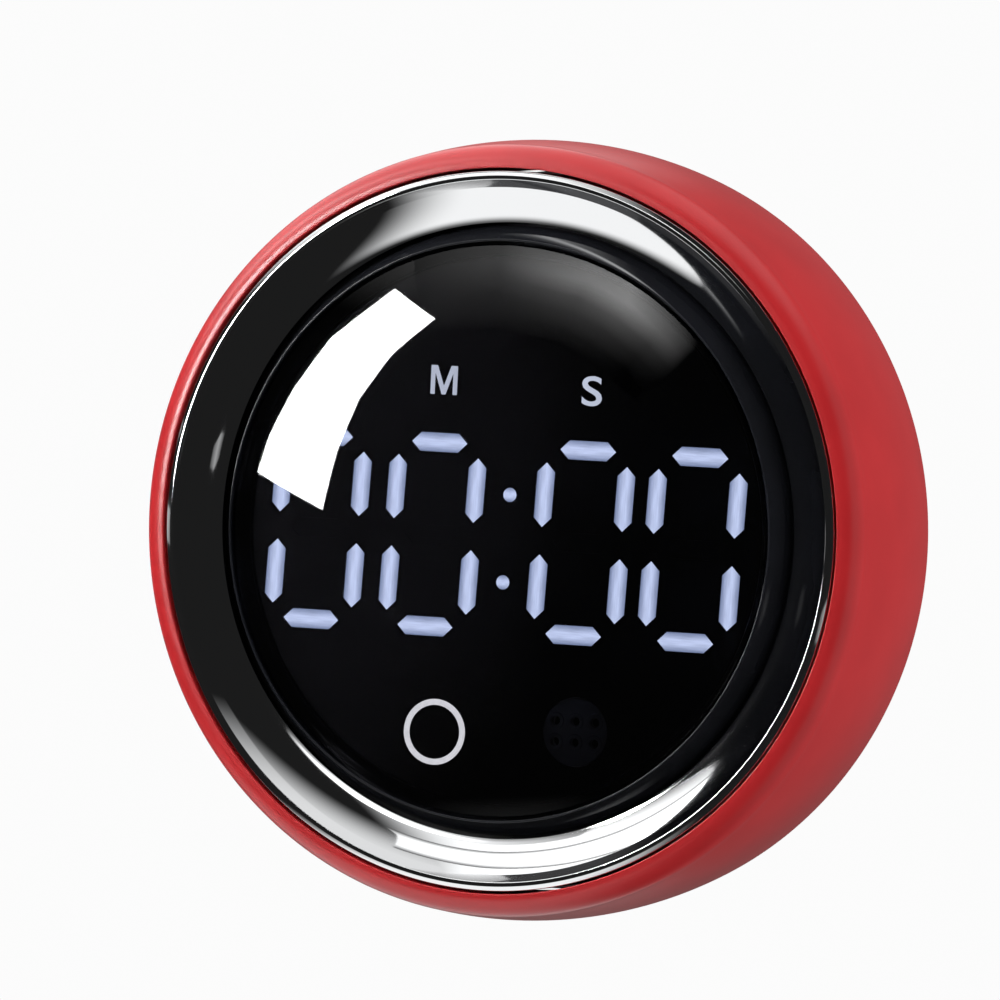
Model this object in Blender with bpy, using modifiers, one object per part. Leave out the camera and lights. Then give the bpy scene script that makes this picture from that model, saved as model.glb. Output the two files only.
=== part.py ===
"""Round rotary kitchen timer with a clock display, as separate named pieces.

Every piece is drawn in the face frame: x to the right, y up the face and z out of the face,
with z = 0 on the back of the timer. One empty turns that frame upright, so that in the world
the face looks along -Y and +Z is up. All sizes are in millimetres until a mesh is made.
"""

import math

import bmesh
import bpy
from mathutils import Matrix

MM = 0.001
OUTER_STEPS = 56
INNER_STEPS = 40

# Turning ring
RIM_HEIGHT = 27.0
RING_RADIUS = 39.2
RING_BACK = 6.8
RING_BORE = 36.2
RING_BACK_BORE = 36.8
BORE_STEP_HEIGHT = 14.2
CROWN_HEIGHT = 15.9
CROWN_CURVE = 62.0
CROWN_RINGS = (22.0, 19.0, CROWN_HEIGHT, 11.5)
SHOULDER = 2.4
BACK_CORNER = 0.5

# Chrome trim inside the ring's front edge
TRIM_RADIUS = 35.9
TRIM_WALL = 0.9
TRIM_FOOT = 20.6
TRIM_INNER = 30.8
TRIM_WALL_TOP = 25.6
CREST_RADIUS = 35.05
CREST_DROP = 0.15
VALLEY_HEIGHT = 24.45
VALLEY_CURVE = 9.36
VALLEY_SLOPE_IN = 14.0
VALLEY_SLOPE_OUT = 38.0
VALLEY_UNDER = (-58, -75)

# Gear train from the ring to the encoder
MODULE = 0.9
RING_TEETH = 72
PINION_TEETH = 12
PRESSURE_ANGLE = math.radians(20)
ADDENDUM = 0.8 * MODULE
RING_DEDENDUM = 1.0 * MODULE
PINION_DEDENDUM = 1.05 * MODULE
BACKLASH = 0.34
RING_PITCH = MODULE * RING_TEETH / 2
PINION_PITCH = MODULE * PINION_TEETH / 2
ENCODER_Y = RING_PITCH - PINION_PITCH
GEAR_LOW = 14.8
GEAR_HIGH = 18.4
PINION_LOW = 15.2
PINION_HIGH = 17.0

# Fixed core that the ring turns on
DRUM_RADIUS = 30.7
DRUM_TOP_RADIUS = 30.4
DRUM_BORE = 29.0
LIP_RADIUS = 33.6
LIP_LOW = 20.6
LIP_HIGH = 21.9
CORE_LOW = 14.15
CORE_HIGH = 22.6
FLANGE_INNER = 25.2
FLANGE_HIGH = 16.0
PINION_WINDOW_HALF = 7.2
PINION_WINDOW_LOW = ENCODER_Y - 8
PINION_WINDOW_HIGH = 34.0
LEDGE_RADIUS = 27.9
LEDGE_LOW = 18.8
LEDGE_HIGH = 19.8

# Lens and its black bezel
BEZEL_TOP_RADIUS = 29.1
BEZEL_TOP = 26.75
BEZEL_BASE_RADIUS = 30.5
BEZEL_SKIRT_TOP = 23.5
BEZEL_LOW = 22.9
BEZEL_BORE = 28.9
SEAT_RADIUS = 27.6
SEAT_HEIGHT = 24.8
LENS_RADIUS = 28.6
LENS_EDGE = 26.6
LENS_RISE = 3.4
LENS_WALL = 1.5

# Display stack
SHEET_RADIUS = 27.3
MASK_LOW, MASK_HIGH = 24.1, 24.7
DIFFUSER_LOW, DIFFUSER_HIGH = 23.1, 23.8
REFLECTOR_LOW, REFLECTOR_HIGH = 18.8, 22.8
REFLECTOR_RADIUS = 27.5
BOARD_LOW, BOARD_HIGH = 17.3, 18.5
BOARD_RADIUS = 28.6
DISPLAY_Y = -0.77
DIGIT_CENTRES = (-20.2, -7.78, 8.22, 20.2)
DIGIT_HALF_WIDTH = 4.3
DIGIT_HALF_HEIGHT = 9.22
UPRIGHT_CENTRE = 4.6
UPRIGHT_LENGTH = 6.25
BAR_LENGTH = 5.8
SEGMENT_WIDTH = 1.88
CAVITY_MARGIN = 0.15
SLANT = math.tan(math.radians(2))
COLON_X = 0.22
COLON_Y = 4.38
COLON_RADIUS = 0.7
COLON_CAVITY = 1.2
LETTER_CENTRES = ((-7.3, 14.7), (8.65, 14.4))
LETTER_WINDOW = 1.8
TOUCH_CENTRE = (-6.5, -20.5)
TOUCH_HOLE = 3.4
BUZZER_CENTRE = (8.6, -19.6)
BUZZER_RADIUS = 4.4
BUZZER_HOLE = 4.9
BUZZER_HIGH = 22.4
BUZZER_PORT = (0.9, 21.4)
GRILLE_RADIUS = 3.4
GRILLE_PITCH = 2.1
GRILLE_HOLE = 0.6
SOUND_HOLE = 3.0
CHIP_HALF = 3.5
CHIP_THICKNESS = 1.2
TOUCH_COIL_RADIUS = 2.5
TOUCH_COIL_LOW = 19.1
TOUCH_COIL_WIRE = 0.25

# Rotary encoder
SHAFT_HOLE = 1.3
SHAFT_RADII = (0.7, 1.0)
SHAFT_LOW = 8.7
ENCODER_RADIUS = 4.6
ENCODER_LOW, ENCODER_FLOOR, ENCODER_HIGH = 7.0, 8.4, 12.4

# Rear housing and battery bay
DECK_LOW, DECK_HIGH = 12.75, 13.85
HOUSING_RADIUS = 35.4
HOUSING_BORE = 33.8
HOUSING_LOW = 2.7
COLLAR_RADIUS = 36.4
COLLAR_HEIGHT = 6.4
BAY_HALF = (25.4, 17.0)
BAY_WALL = 1.0
BAY_CORNERS = (1.5, 0.6)
BOSS_HOLE_TOP = 9.0
WIRE_HOLE = 0.9
SHAFT_CLEARANCE = 1.6
WASHER_OUTER, WASHER_INNER = 35.2, 33.5
BATTERY_RADIUS = 5.15
BATTERY_LENGTH = 44.5
BATTERY_NUB = 0.9
BATTERY_POLE = 1.9
BATTERY_SHOULDER = 0.5
BATTERY_CRIMP = 0.3
BATTERY_HEIGHT = 7.2
BATTERY_PITCH = 10.8
CONTACT_X = 24.7
CONTACT_THICKNESS = 0.4
CONTACT_LOW, CONTACT_HIGH = 2.7, 11.7
CONTACT_HALF_WIDTH = 4.4
SPRING_LENGTH = 4.0
SPRING_WIRE = 0.3
SPRING_RADII = (2.4, 3.6)
WIRE_RADIUS = 0.4
WIRE_PATH = ((24.2, 7.0, 10.6), (23.7, 6.4, 12.0), (23.2, 6.0, 13.3), (22.9, 5.8, 15.0), (22.8, 5.8, 17.0))

# Back cover, door, magnets and switch
COVER_HIGH = 2.4
COVER_RADIUS = 35.6
COVER_EDGE = ((35.3, 1.1), (34.7, 0.3))
BACK_FLAT_RADIUS = 33.9
COVER_CORNER = 0.6
DOOR_HALF = (25.7, 17.0)
DOOR_THICKNESS = 1.6
DOOR_GAP = 0.3
HINGE_Y = DOOR_HALF[1] - DOOR_THICKNESS / 2
HINGE_HEIGHT = DOOR_THICKNESS / 2
HINGE_PIN = 0.3
HINGE_HOLE = 0.5
HINGE_HOLE_HALF = 26.9
HINGE_PIN_OUT = 0.8
LATCH_HALF_WIDTH = 4.0
LATCH_HIGH = 4.0
LATCH_INSET = (0.4, 1.0)
MAGNET_PLACES = ((-13.5, 24.0), (13.5, 24.0), (-13.5, -24.0), (13.5, -24.0))
MAGNET_RADIUS = 4.5
MAGNET_LOW, MAGNET_HIGH = 0.1, 1.5
MAGNET_POCKET = 1.8
SWITCH_Y = -25.5
SWITCH_TRAVEL = 2.0
KNOB_HALF = (1.5, 1.0)
KNOB_LOW, KNOB_HIGH = 0.5, 2.7
SWITCH_HALF = (4.5, 2.0)
SWITCH_LOW, SWITCH_HIGH = 3.0, 6.0
SWITCH_CORNER = 0.3

# Screws
CLEAR_HOLE = 1.1
BACK_SCREW_PLACES = ((-30.0, 6.0), (30.0, 6.0), (-30.0, -6.0), (30.0, -6.0))
BACK_SCREW_HEAD = 1.9
BACK_SCREW_SINK = 1.5
BACK_SCREW_HEIGHTS = (0.2, 1.2, 8.0)
SMALL_SCREW_HEAD = 1.5
CORE_SCREW_HEIGHTS = (11.3, DECK_LOW - 0.3, 15.8)
BOSS_RADIUS = 2.2
CORE_SCREW_RADIUS = 27.1
CORE_SCREW_ANGLES = (50, 130, 230, 310)
DISPLAY_SCREW_PLACES = ((-12.0, 22.0), (12.0, 22.0), (0.6, -24.8))
DISPLAY_SCREW_HOLE = 1.0
DISPLAY_SCREW_HEIGHTS = (16.3, BOARD_LOW - 0.3, 21.6)
DISPLAY_SCREW_SHANK = 0.7
SCREW_SHANK = 0.8
SCREW_TIP = 0.6

GAP = 0.3


# ---------------------------------------------------------------- scene and materials


def clear_scene():
    for old in list(bpy.data.objects):
        bpy.data.objects.remove(old, do_unlink=True)


def new_collection(name):
    collection = bpy.data.collections.new(name)
    bpy.context.scene.collection.children.link(collection)
    return collection


def new_material(name, colour, roughness, metallic=0.0):
    material = bpy.data.materials.new(name)
    material.use_nodes = True
    shader = material.node_tree.nodes["Principled BSDF"]
    shader.inputs["Base Color"].default_value = (*colour, 1.0)
    shader.inputs["Roughness"].default_value = roughness
    shader.inputs["Metallic"].default_value = metallic
    return material


def new_empty(name, location=(0, 0, 0), parent=None):
    """An empty on a joint's axis, or the frame that the pieces are drawn in."""
    empty = bpy.data.objects.new(name, None)
    empty.empty_display_size = 0.01
    empty.location = [value * MM for value in location]
    empty.parent = parent
    PARTS.objects.link(empty)
    return empty


clear_scene()
PARTS = new_collection("kitchen_timer")
CUTTERS = new_collection("cutters")

RED = new_material("red_satin_abs", (0.52, 0.04, 0.045), 0.38)
CHROME = new_material("chrome_plating", (0.75, 0.76, 0.78), 0.08, 1.0)
BLACK = new_material("black_abs", (0.018, 0.018, 0.02), 0.5)
GLOSS_BLACK = new_material("gloss_black_abs", (0.01, 0.01, 0.012), 0.12)
SMOKED = new_material("smoked_acrylic", (0.015, 0.015, 0.02), 0.05)
ACETAL = new_material("white_acetal", (0.8, 0.8, 0.76), 0.4)
MILKY = new_material("milky_diffuser", (0.75, 0.8, 0.85), 0.5)
WHITE = new_material("white_reflector", (0.85, 0.85, 0.85), 0.45)
BOARD = new_material("green_circuit_board", (0.02, 0.16, 0.06), 0.4)
CHIP = new_material("black_chip_epoxy", (0.02, 0.02, 0.022), 0.6)
STEEL = new_material("zinc_plated_steel", (0.62, 0.62, 0.6), 0.3, 1.0)
NICKEL = new_material("nickel_plating", (0.7, 0.68, 0.64), 0.2, 1.0)
BATTERY = new_material("battery_sleeve", (0.08, 0.1, 0.16), 0.35)
RED_WIRE = new_material("red_wire", (0.6, 0.03, 0.03), 0.45)
BLACK_WIRE = new_material("black_wire", (0.02, 0.02, 0.02), 0.45)

FRAME = new_empty("face_frame")
FRAME.rotation_euler = (math.radians(90), 0, 0)
RING_AXIS = new_empty("ring_axis", parent=FRAME)
ENCODER_AXIS = new_empty("encoder_axis", (0, ENCODER_Y, 0), FRAME)
DOOR_AXIS = new_empty("door_axis", (0, HINGE_Y, HINGE_HEIGHT), FRAME)
SWITCH_AXIS = new_empty("switch_axis", (0, SWITCH_Y, 0), FRAME)


# ---------------------------------------------------------------- outlines


def arc(centre, radius, start, end, steps):
    """Points along a circular arc, with its angles in degrees from the first axis."""
    angles = [math.radians(start + (end - start) * i / steps) for i in range(steps + 1)]
    return [(centre[0] + radius * math.cos(a), centre[1] + radius * math.sin(a)) for a in angles]


def circle(radius, steps, centre=(0, 0)):
    return arc(centre, radius, 0, 360 * (steps - 1) / steps, steps - 1)


def rounded_rectangle(half, corner, centre=(0, 0), steps=3):
    points = []
    for sign_x, sign_y, start in ((1, 1, 0), (-1, 1, 90), (-1, -1, 180), (1, -1, 270)):
        middle = (centre[0] + sign_x * (half[0] - corner), centre[1] + sign_y * (half[1] - corner))
        points += arc(middle, corner, start, start + 90, steps)
    return points


def rectangle(half, centre=(0, 0)):
    corners = ((1, 1), (-1, 1), (-1, -1), (1, -1))
    return [(centre[0] + sx * half[0], centre[1] + sy * half[1]) for sx, sy in corners]


def segment(centre, length, upright, grow=0.0):
    """One pointed bar of a digit, leaning with the slant of the display."""
    half = length / 2 + grow
    width = SEGMENT_WIDTH / 2 + grow
    shape = ((-half, 0), (width - half, -width), (half - width, -width))
    shape += ((half, 0), (half - width, width), (width - half, width))
    points = []
    for along, across in shape:
        x, y = (across, along) if upright else (along, across)
        y += centre[1]
        points.append((centre[0] + x + y * SLANT, y + DISPLAY_Y))
    return points


def digit_segments(grow=0.0):
    """The seven bars of each of the four digits."""
    shapes = []
    for digit in DIGIT_CENTRES:
        for y in (-DIGIT_HALF_HEIGHT, 0, DIGIT_HALF_HEIGHT):
            shapes.append(segment((digit, y), BAR_LENGTH, False, grow))
        for x in (-DIGIT_HALF_WIDTH, DIGIT_HALF_WIDTH):
            for y in (-UPRIGHT_CENTRE, UPRIGHT_CENTRE):
                shapes.append(segment((digit + x, y), UPRIGHT_LENGTH, True, grow))
    return shapes


def colon_dots(radius):
    heights = (-COLON_Y, COLON_Y)
    return [circle(radius, 10, (COLON_X + y * SLANT, y + DISPLAY_Y)) for y in heights]


def letter_windows():
    return [rectangle((LETTER_WINDOW, LETTER_WINDOW), centre) for centre in LETTER_CENTRES]


def involute(angle):
    return math.tan(angle) - angle


def half_tooth(radius, pitch_radius, teeth):
    """Half the angle that an external involute tooth fills at a radius."""
    base = pitch_radius * math.cos(PRESSURE_ANGLE)
    at_radius = math.acos(min(1.0, base / radius))
    return math.pi / (2 * teeth) + involute(PRESSURE_ANGLE) - involute(at_radius)


def polar(radius, angle):
    return (radius * math.cos(angle), radius * math.sin(angle))


def pinion_outline():
    """External teeth, with one tooth pointing up at the ring gear."""
    root = PINION_PITCH - PINION_DEDENDUM
    radii = (root, PINION_PITCH - MODULE * 0.25, PINION_PITCH + MODULE * 0.35, PINION_PITCH + ADDENDUM)
    base = PINION_PITCH * math.cos(PRESSURE_ANGLE)
    slack = BACKLASH / 4 / PINION_PITCH
    flank = [(r, half_tooth(max(r, base), PINION_PITCH, PINION_TEETH) - slack) for r in radii]
    points = []
    for tooth in range(PINION_TEETH):
        middle = math.radians(90) + tooth * 2 * math.pi / PINION_TEETH
        points += [polar(r, middle - half) for r, half in flank]
        points += [polar(r, middle + half) for r, half in reversed(flank)]
    return points


def ring_gear_outline():
    """Internal teeth, with the space between two of them at the top, over the pinion."""
    slack = BACKLASH / 4 / RING_PITCH
    pitch_angle = 2 * math.pi / RING_TEETH
    flank = []
    for radius in (RING_PITCH + RING_DEDENDUM, RING_PITCH - ADDENDUM):
        flank.append((radius, pitch_angle / 2 - half_tooth(radius, RING_PITCH, RING_TEETH) - slack))
    points = []
    for tooth in range(RING_TEETH):
        middle = math.radians(90) + (tooth + 0.5) * pitch_angle
        points += [polar(r, middle - half) for r, half in flank]
        points += [polar(r, middle + half) for r, half in reversed(flank)]
    return points


# ---------------------------------------------------------------- meshes


def smooth(mesh):
    mesh.shade_smooth()
    mesh.set_sharp_from_angle(angle=math.radians(30))


def extruded_mesh(name, outlines, low, high):
    """A flat outline, with any outlines inside it as holes, between two heights."""
    curve = bpy.data.curves.new(name, "CURVE")
    curve.dimensions = "2D"
    curve.fill_mode = "BOTH"
    curve.extrude = (high - low) / 2 * MM
    for outline in outlines:
        spline = curve.splines.new("POLY")
        spline.points.add(len(outline) - 1)
        for point, (x, y) in zip(spline.points, outline):
            point.co = (x * MM, y * MM, 0, 1)
        spline.use_cyclic_u = True
    holder = bpy.data.objects.new(name, curve)
    PARTS.objects.link(holder)
    bpy.context.view_layer.update()
    evaluated = holder.evaluated_get(bpy.context.evaluated_depsgraph_get())
    mesh = bpy.data.meshes.new_from_object(evaluated)
    bpy.data.objects.remove(holder)
    bpy.data.curves.remove(curve)
    mesh.transform(Matrix.Translation((0, 0, (low + high) / 2 * MM)))
    weld(mesh)
    return mesh


def weld(mesh):
    work = bmesh.new()
    work.from_mesh(mesh)
    bmesh.ops.remove_doubles(work, verts=work.verts, dist=0.00001)
    bmesh.ops.recalc_face_normals(work, faces=work.faces)
    work.to_mesh(mesh)
    work.free()


def box_mesh(name, low, high):
    """A box between two corners."""
    work = bmesh.new()
    bmesh.ops.create_cube(work, size=1)
    size = [(b - a) * MM for a, b in zip(low, high)]
    middle = [(a + b) / 2 * MM for a, b in zip(low, high)]
    bmesh.ops.scale(work, vec=size, verts=work.verts)
    bmesh.ops.translate(work, vec=middle, verts=work.verts)
    mesh = bpy.data.meshes.new(name)
    work.to_mesh(mesh)
    work.free()
    return mesh


def add_piece(name, mesh, material, parent, location=(0, 0, 0)):
    """One sub-part: a named object with its material, in the face frame or on a joint's axis."""
    mesh.materials.clear()
    mesh.materials.append(material)
    piece = bpy.data.objects.new(name, mesh)
    piece.parent = parent
    piece.location = [value * MM for value in location]
    PARTS.objects.link(piece)
    return piece


def plate(name, outlines, low, high, material, parent, location=(0, 0, 0)):
    mesh = extruded_mesh(name, outlines, low, high)
    smooth(mesh)
    return add_piece(name, mesh, material, parent, location)


def turned(name, profile, material, parent, closed=True, steps=INNER_STEPS, location=(0, 0, 0)):
    """A profile of radius and height, outer side downwards, turned about the local z axis."""
    mesh = bpy.data.meshes.new(name)
    count = len(profile)
    edges = [(i, i + 1) for i in range(count - 1)]
    if closed:
        edges.append((count - 1, 0))
    mesh.from_pydata([(r * MM, 0, h * MM) for r, h in profile], edges, [])
    piece = add_piece(name, mesh, material, parent, location)
    screw = piece.modifiers.new("turn", "SCREW")
    screw.axis = "Z"
    screw.angle = 2 * math.pi
    screw.steps = steps
    screw.render_steps = steps
    screw.use_merge_vertices = True
    screw.merge_threshold = 0.00001
    screw.use_smooth_shade = True
    return piece


def wire_mesh(name, points, radius, resolution=1):
    """A round wire along points, as one closed mesh with welded end caps."""
    curve = bpy.data.curves.new(name, "CURVE")
    curve.dimensions = "3D"
    curve.bevel_depth = radius * MM
    curve.bevel_resolution = resolution
    curve.use_fill_caps = True
    spline = curve.splines.new("POLY")
    spline.points.add(len(points) - 1)
    for point, place in zip(spline.points, points):
        point.co = (*[value * MM for value in place], 1)
    holder = bpy.data.objects.new(name, curve)
    PARTS.objects.link(holder)
    bpy.context.view_layer.update()
    evaluated = holder.evaluated_get(bpy.context.evaluated_depsgraph_get())
    mesh = bpy.data.meshes.new_from_object(evaluated)
    bpy.data.objects.remove(holder)
    bpy.data.curves.remove(curve)
    weld(mesh)
    smooth(mesh)
    return mesh


def change(piece, operation, mesh):
    """Cuts a piece with a mesh, or joins the mesh to it, by a Boolean that stays live."""
    tool = bpy.data.objects.new(f"{piece.name}_{operation.lower()}_{len(piece.modifiers)}", mesh)
    tool.parent = piece.parent
    tool.location = piece.location
    tool.hide_render = True
    tool.display_type = "WIRE"
    CUTTERS.objects.link(tool)
    boolean = piece.modifiers.new(tool.name, "BOOLEAN")
    boolean.operation = operation
    boolean.object = tool


def cylinder_along_x(name, half_length, radius, y, height, steps=10):
    """A rod along x, for the door's hinge and its holes."""
    mesh = extruded_mesh(name, [circle(radius, steps)], -half_length, half_length)
    mesh.transform(Matrix.Rotation(math.radians(90), 4, "Y"))
    mesh.transform(Matrix.Translation((0, y * MM, height * MM)))
    return mesh


# ---------------------------------------------------------------- turning ring


def crown_radius(height):
    return RING_RADIUS - (height - CROWN_HEIGHT) ** 2 / (2 * CROWN_CURVE)


def make_outer_ring():
    shoulder_height = RIM_HEIGHT - SHOULDER
    shoulder = (crown_radius(shoulder_height) - SHOULDER, shoulder_height)
    corner_height = RING_BACK + BACK_CORNER
    corner = (crown_radius(corner_height) - BACK_CORNER, corner_height)
    profile = [(RING_BORE, RIM_HEIGHT - 0.1)]
    profile += arc(shoulder, SHOULDER, 90, 0, 4)
    profile += [(crown_radius(height), height) for height in CROWN_RINGS]
    profile += arc(corner, BACK_CORNER, 0, -90, 2)
    profile += [(RING_BACK_BORE, RING_BACK), (RING_BACK_BORE, BORE_STEP_HEIGHT), (RING_BORE, BORE_STEP_HEIGHT)]
    turned("outer_ring", profile, RED, RING_AXIS, steps=OUTER_STEPS)


def make_chrome_ring():
    slope = math.radians(VALLEY_SLOPE_IN)
    centre = (TRIM_INNER - VALLEY_CURVE * math.sin(slope), VALLEY_HEIGHT + VALLEY_CURVE * math.cos(slope))
    inner_wall = TRIM_RADIUS - TRIM_WALL
    profile = [(CREST_RADIUS, RIM_HEIGHT), (TRIM_RADIUS, RIM_HEIGHT - CREST_DROP), (TRIM_RADIUS, TRIM_FOOT)]
    profile += [(inner_wall, TRIM_FOOT), (inner_wall, TRIM_WALL_TOP)]
    profile += arc(centre, VALLEY_CURVE + TRIM_WALL, *VALLEY_UNDER, 2)
    profile += [(TRIM_INNER, VALLEY_HEIGHT - TRIM_WALL)]
    profile += arc(centre, VALLEY_CURVE, VALLEY_SLOPE_IN - 90, VALLEY_SLOPE_OUT - 90, 4)
    turned("chrome_ring", profile, CHROME, RING_AXIS, steps=OUTER_STEPS)


def make_ring_drive():
    outlines = [circle(TRIM_RADIUS, RING_TEETH), ring_gear_outline()]
    plate("ring_gear", outlines, GEAR_LOW, GEAR_HIGH, ACETAL, RING_AXIS)
    low, high = GEAR_HIGH + GAP, LIP_LOW - GAP
    inner = DRUM_RADIUS + GAP
    profile = [(TRIM_RADIUS, high), (TRIM_RADIUS, low), (inner, low), (inner, high)]
    turned("ring_bearing", profile, ACETAL, RING_AXIS)


# ---------------------------------------------------------------- fixed core and display


def core_screw_places():
    angles = [math.radians(angle) for angle in CORE_SCREW_ANGLES]
    return [polar(CORE_SCREW_RADIUS, angle) for angle in angles]


def holes(places, radius, steps=10):
    return [circle(radius, steps, place) for place in places]


def make_core_frame():
    profile = [(DRUM_TOP_RADIUS, CORE_HIGH), (DRUM_TOP_RADIUS, LIP_HIGH)]
    profile += [(LIP_RADIUS, LIP_HIGH), (LIP_RADIUS, LIP_LOW)]
    profile += [(DRUM_RADIUS, LIP_LOW), (DRUM_RADIUS, CORE_LOW), (FLANGE_INNER, CORE_LOW)]
    profile += [(FLANGE_INNER, FLANGE_HIGH), (DRUM_BORE, FLANGE_HIGH), (DRUM_BORE, LEDGE_LOW)]
    profile += [(LEDGE_RADIUS, LEDGE_LOW), (LEDGE_RADIUS, LEDGE_HIGH)]
    profile += [(DRUM_BORE, LEDGE_HIGH), (DRUM_BORE, CORE_HIGH)]
    core = turned("core_frame", profile, BLACK, FRAME)
    window_low = (-PINION_WINDOW_HALF, PINION_WINDOW_LOW, CORE_LOW - 1)
    window_high = (PINION_WINDOW_HALF, PINION_WINDOW_HIGH, PINION_HIGH + 2 * GAP)
    change(core, "DIFFERENCE", box_mesh("pinion_window", window_low, window_high))
    screw_holes = holes(core_screw_places(), CLEAR_HOLE)
    change(core, "DIFFERENCE", extruded_mesh("core_holes", screw_holes, CORE_LOW - 1, FLANGE_HIGH + 1))


def make_lens():
    profile = [(BEZEL_TOP_RADIUS, BEZEL_TOP), (BEZEL_BASE_RADIUS, BEZEL_SKIRT_TOP)]
    profile += [(BEZEL_BASE_RADIUS, BEZEL_LOW), (SEAT_RADIUS, BEZEL_LOW), (SEAT_RADIUS, SEAT_HEIGHT)]
    profile += [(BEZEL_BORE, SEAT_HEIGHT), (BEZEL_BORE, BEZEL_TOP)]
    turned("lens_bezel", profile, GLOSS_BLACK, FRAME, steps=OUTER_STEPS)

    sphere = (LENS_RADIUS**2 + LENS_RISE**2) / (2 * LENS_RISE)
    radii = [LENS_RADIUS * i / 4 for i in range(5)]
    outer = [(r, LENS_EDGE + LENS_RISE - sphere + math.sqrt(sphere**2 - r**2)) for r in radii]
    inner = [(r, height - LENS_WALL) for r, height in reversed(outer)]
    turned("front_lens", outer + inner, SMOKED, FRAME, closed=False, steps=OUTER_STEPS)


def make_display():
    touch_hole = circle(TOUCH_HOLE, 16, TOUCH_CENTRE)
    windows = digit_segments() + colon_dots(COLON_RADIUS) + letter_windows()
    grille_seat = circle(GRILLE_RADIUS + GAP, 20, BUZZER_CENTRE)
    mask = [circle(SHEET_RADIUS, INNER_STEPS), grille_seat] + windows
    plate("display_mask", mask, MASK_LOW, MASK_HIGH, BLACK, FRAME)

    grille = [circle(GRILLE_RADIUS, 20, BUZZER_CENTRE)]
    for row in (-0.5, 0.5):
        for column in (-1, 0, 1):
            place = (BUZZER_CENTRE[0] + column * GRILLE_PITCH, BUZZER_CENTRE[1] + row * GRILLE_PITCH)
            grille.append(circle(GRILLE_HOLE, 8, place))
    plate("sound_grille", grille, MASK_LOW, MASK_HIGH, BLACK, FRAME)

    sound_hole = circle(SOUND_HOLE, 16, BUZZER_CENTRE)
    sheet = [circle(SHEET_RADIUS, INNER_STEPS), touch_hole, sound_hole]
    plate("diffuser_sheet", sheet, DIFFUSER_LOW, DIFFUSER_HIGH, MILKY, FRAME)

    screw_holes = holes(DISPLAY_SCREW_PLACES, DISPLAY_SCREW_HOLE, 8)
    cavities = digit_segments(CAVITY_MARGIN) + colon_dots(COLON_CAVITY) + letter_windows()
    buzzer_hole = circle(BUZZER_HOLE, 20, BUZZER_CENTRE)
    block = [circle(REFLECTOR_RADIUS, INNER_STEPS), touch_hole, buzzer_hole] + cavities + screw_holes
    plate("reflector_block", block, REFLECTOR_LOW, REFLECTOR_HIGH, WHITE, FRAME)

    board = [circle(BOARD_RADIUS, INNER_STEPS)] + screw_holes
    plate("main_board", board, BOARD_LOW, BOARD_HIGH, BOARD, FRAME)
    top = BOARD_LOW - GAP
    plate("mcu_chip", [rectangle((CHIP_HALF, CHIP_HALF))], top - CHIP_THICKNESS, top, CHIP, FRAME)

    port, port_floor = BUZZER_PORT
    buzzer = [(0, port_floor), (port, port_floor), (port, BUZZER_HIGH), (BUZZER_RADIUS, BUZZER_HIGH)]
    buzzer += [(BUZZER_RADIUS, REFLECTOR_LOW), (0, REFLECTOR_LOW)]
    place = (*BUZZER_CENTRE, 0)
    turned("buzzer", buzzer, BLACK, FRAME, closed=False, steps=20, location=place)

    radii = (TOUCH_COIL_RADIUS, TOUCH_COIL_RADIUS)
    coil = coil_points(*radii, 4, 8, TOUCH_COIL_LOW, MASK_LOW - 2 * GAP)
    spring = wire_mesh("touch_spring", coil, TOUCH_COIL_WIRE)
    add_piece("touch_spring", spring, NICKEL, FRAME, (*TOUCH_CENTRE, 0))


def coil_points(start_radius, end_radius, turns, per_turn, low, high):
    """Points up a coil about the z axis, widening or narrowing evenly."""
    points = []
    count = turns * per_turn
    for i in range(count + 1):
        share = i / count
        radius = start_radius + (end_radius - start_radius) * share
        points.append((*polar(radius, share * turns * 2 * math.pi), low + (high - low) * share))
    return points


# ---------------------------------------------------------------- encoder


def make_encoder():
    body = [(0, ENCODER_FLOOR), (SHAFT_HOLE, ENCODER_FLOOR), (SHAFT_HOLE, ENCODER_HIGH)]
    body += [(ENCODER_RADIUS, ENCODER_HIGH), (ENCODER_RADIUS, ENCODER_LOW), (0, ENCODER_LOW)]
    turned("encoder_body", body, CHIP, FRAME, closed=False, steps=24, location=(0, ENCODER_Y, 0))
    tip, radius = SHAFT_RADII
    shaft = [(0, PINION_HIGH), (tip, PINION_HIGH), (radius, PINION_HIGH - 0.3)]
    shaft += [(radius, SHAFT_LOW), (0, SHAFT_LOW)]
    turned("encoder_shaft", shaft, STEEL, ENCODER_AXIS, closed=False, steps=16)
    outlines = [pinion_outline(), circle(SHAFT_HOLE, 16)]
    plate("encoder_pinion", outlines, PINION_LOW, PINION_HIGH, ACETAL, ENCODER_AXIS)


# ---------------------------------------------------------------- rear housing


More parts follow.
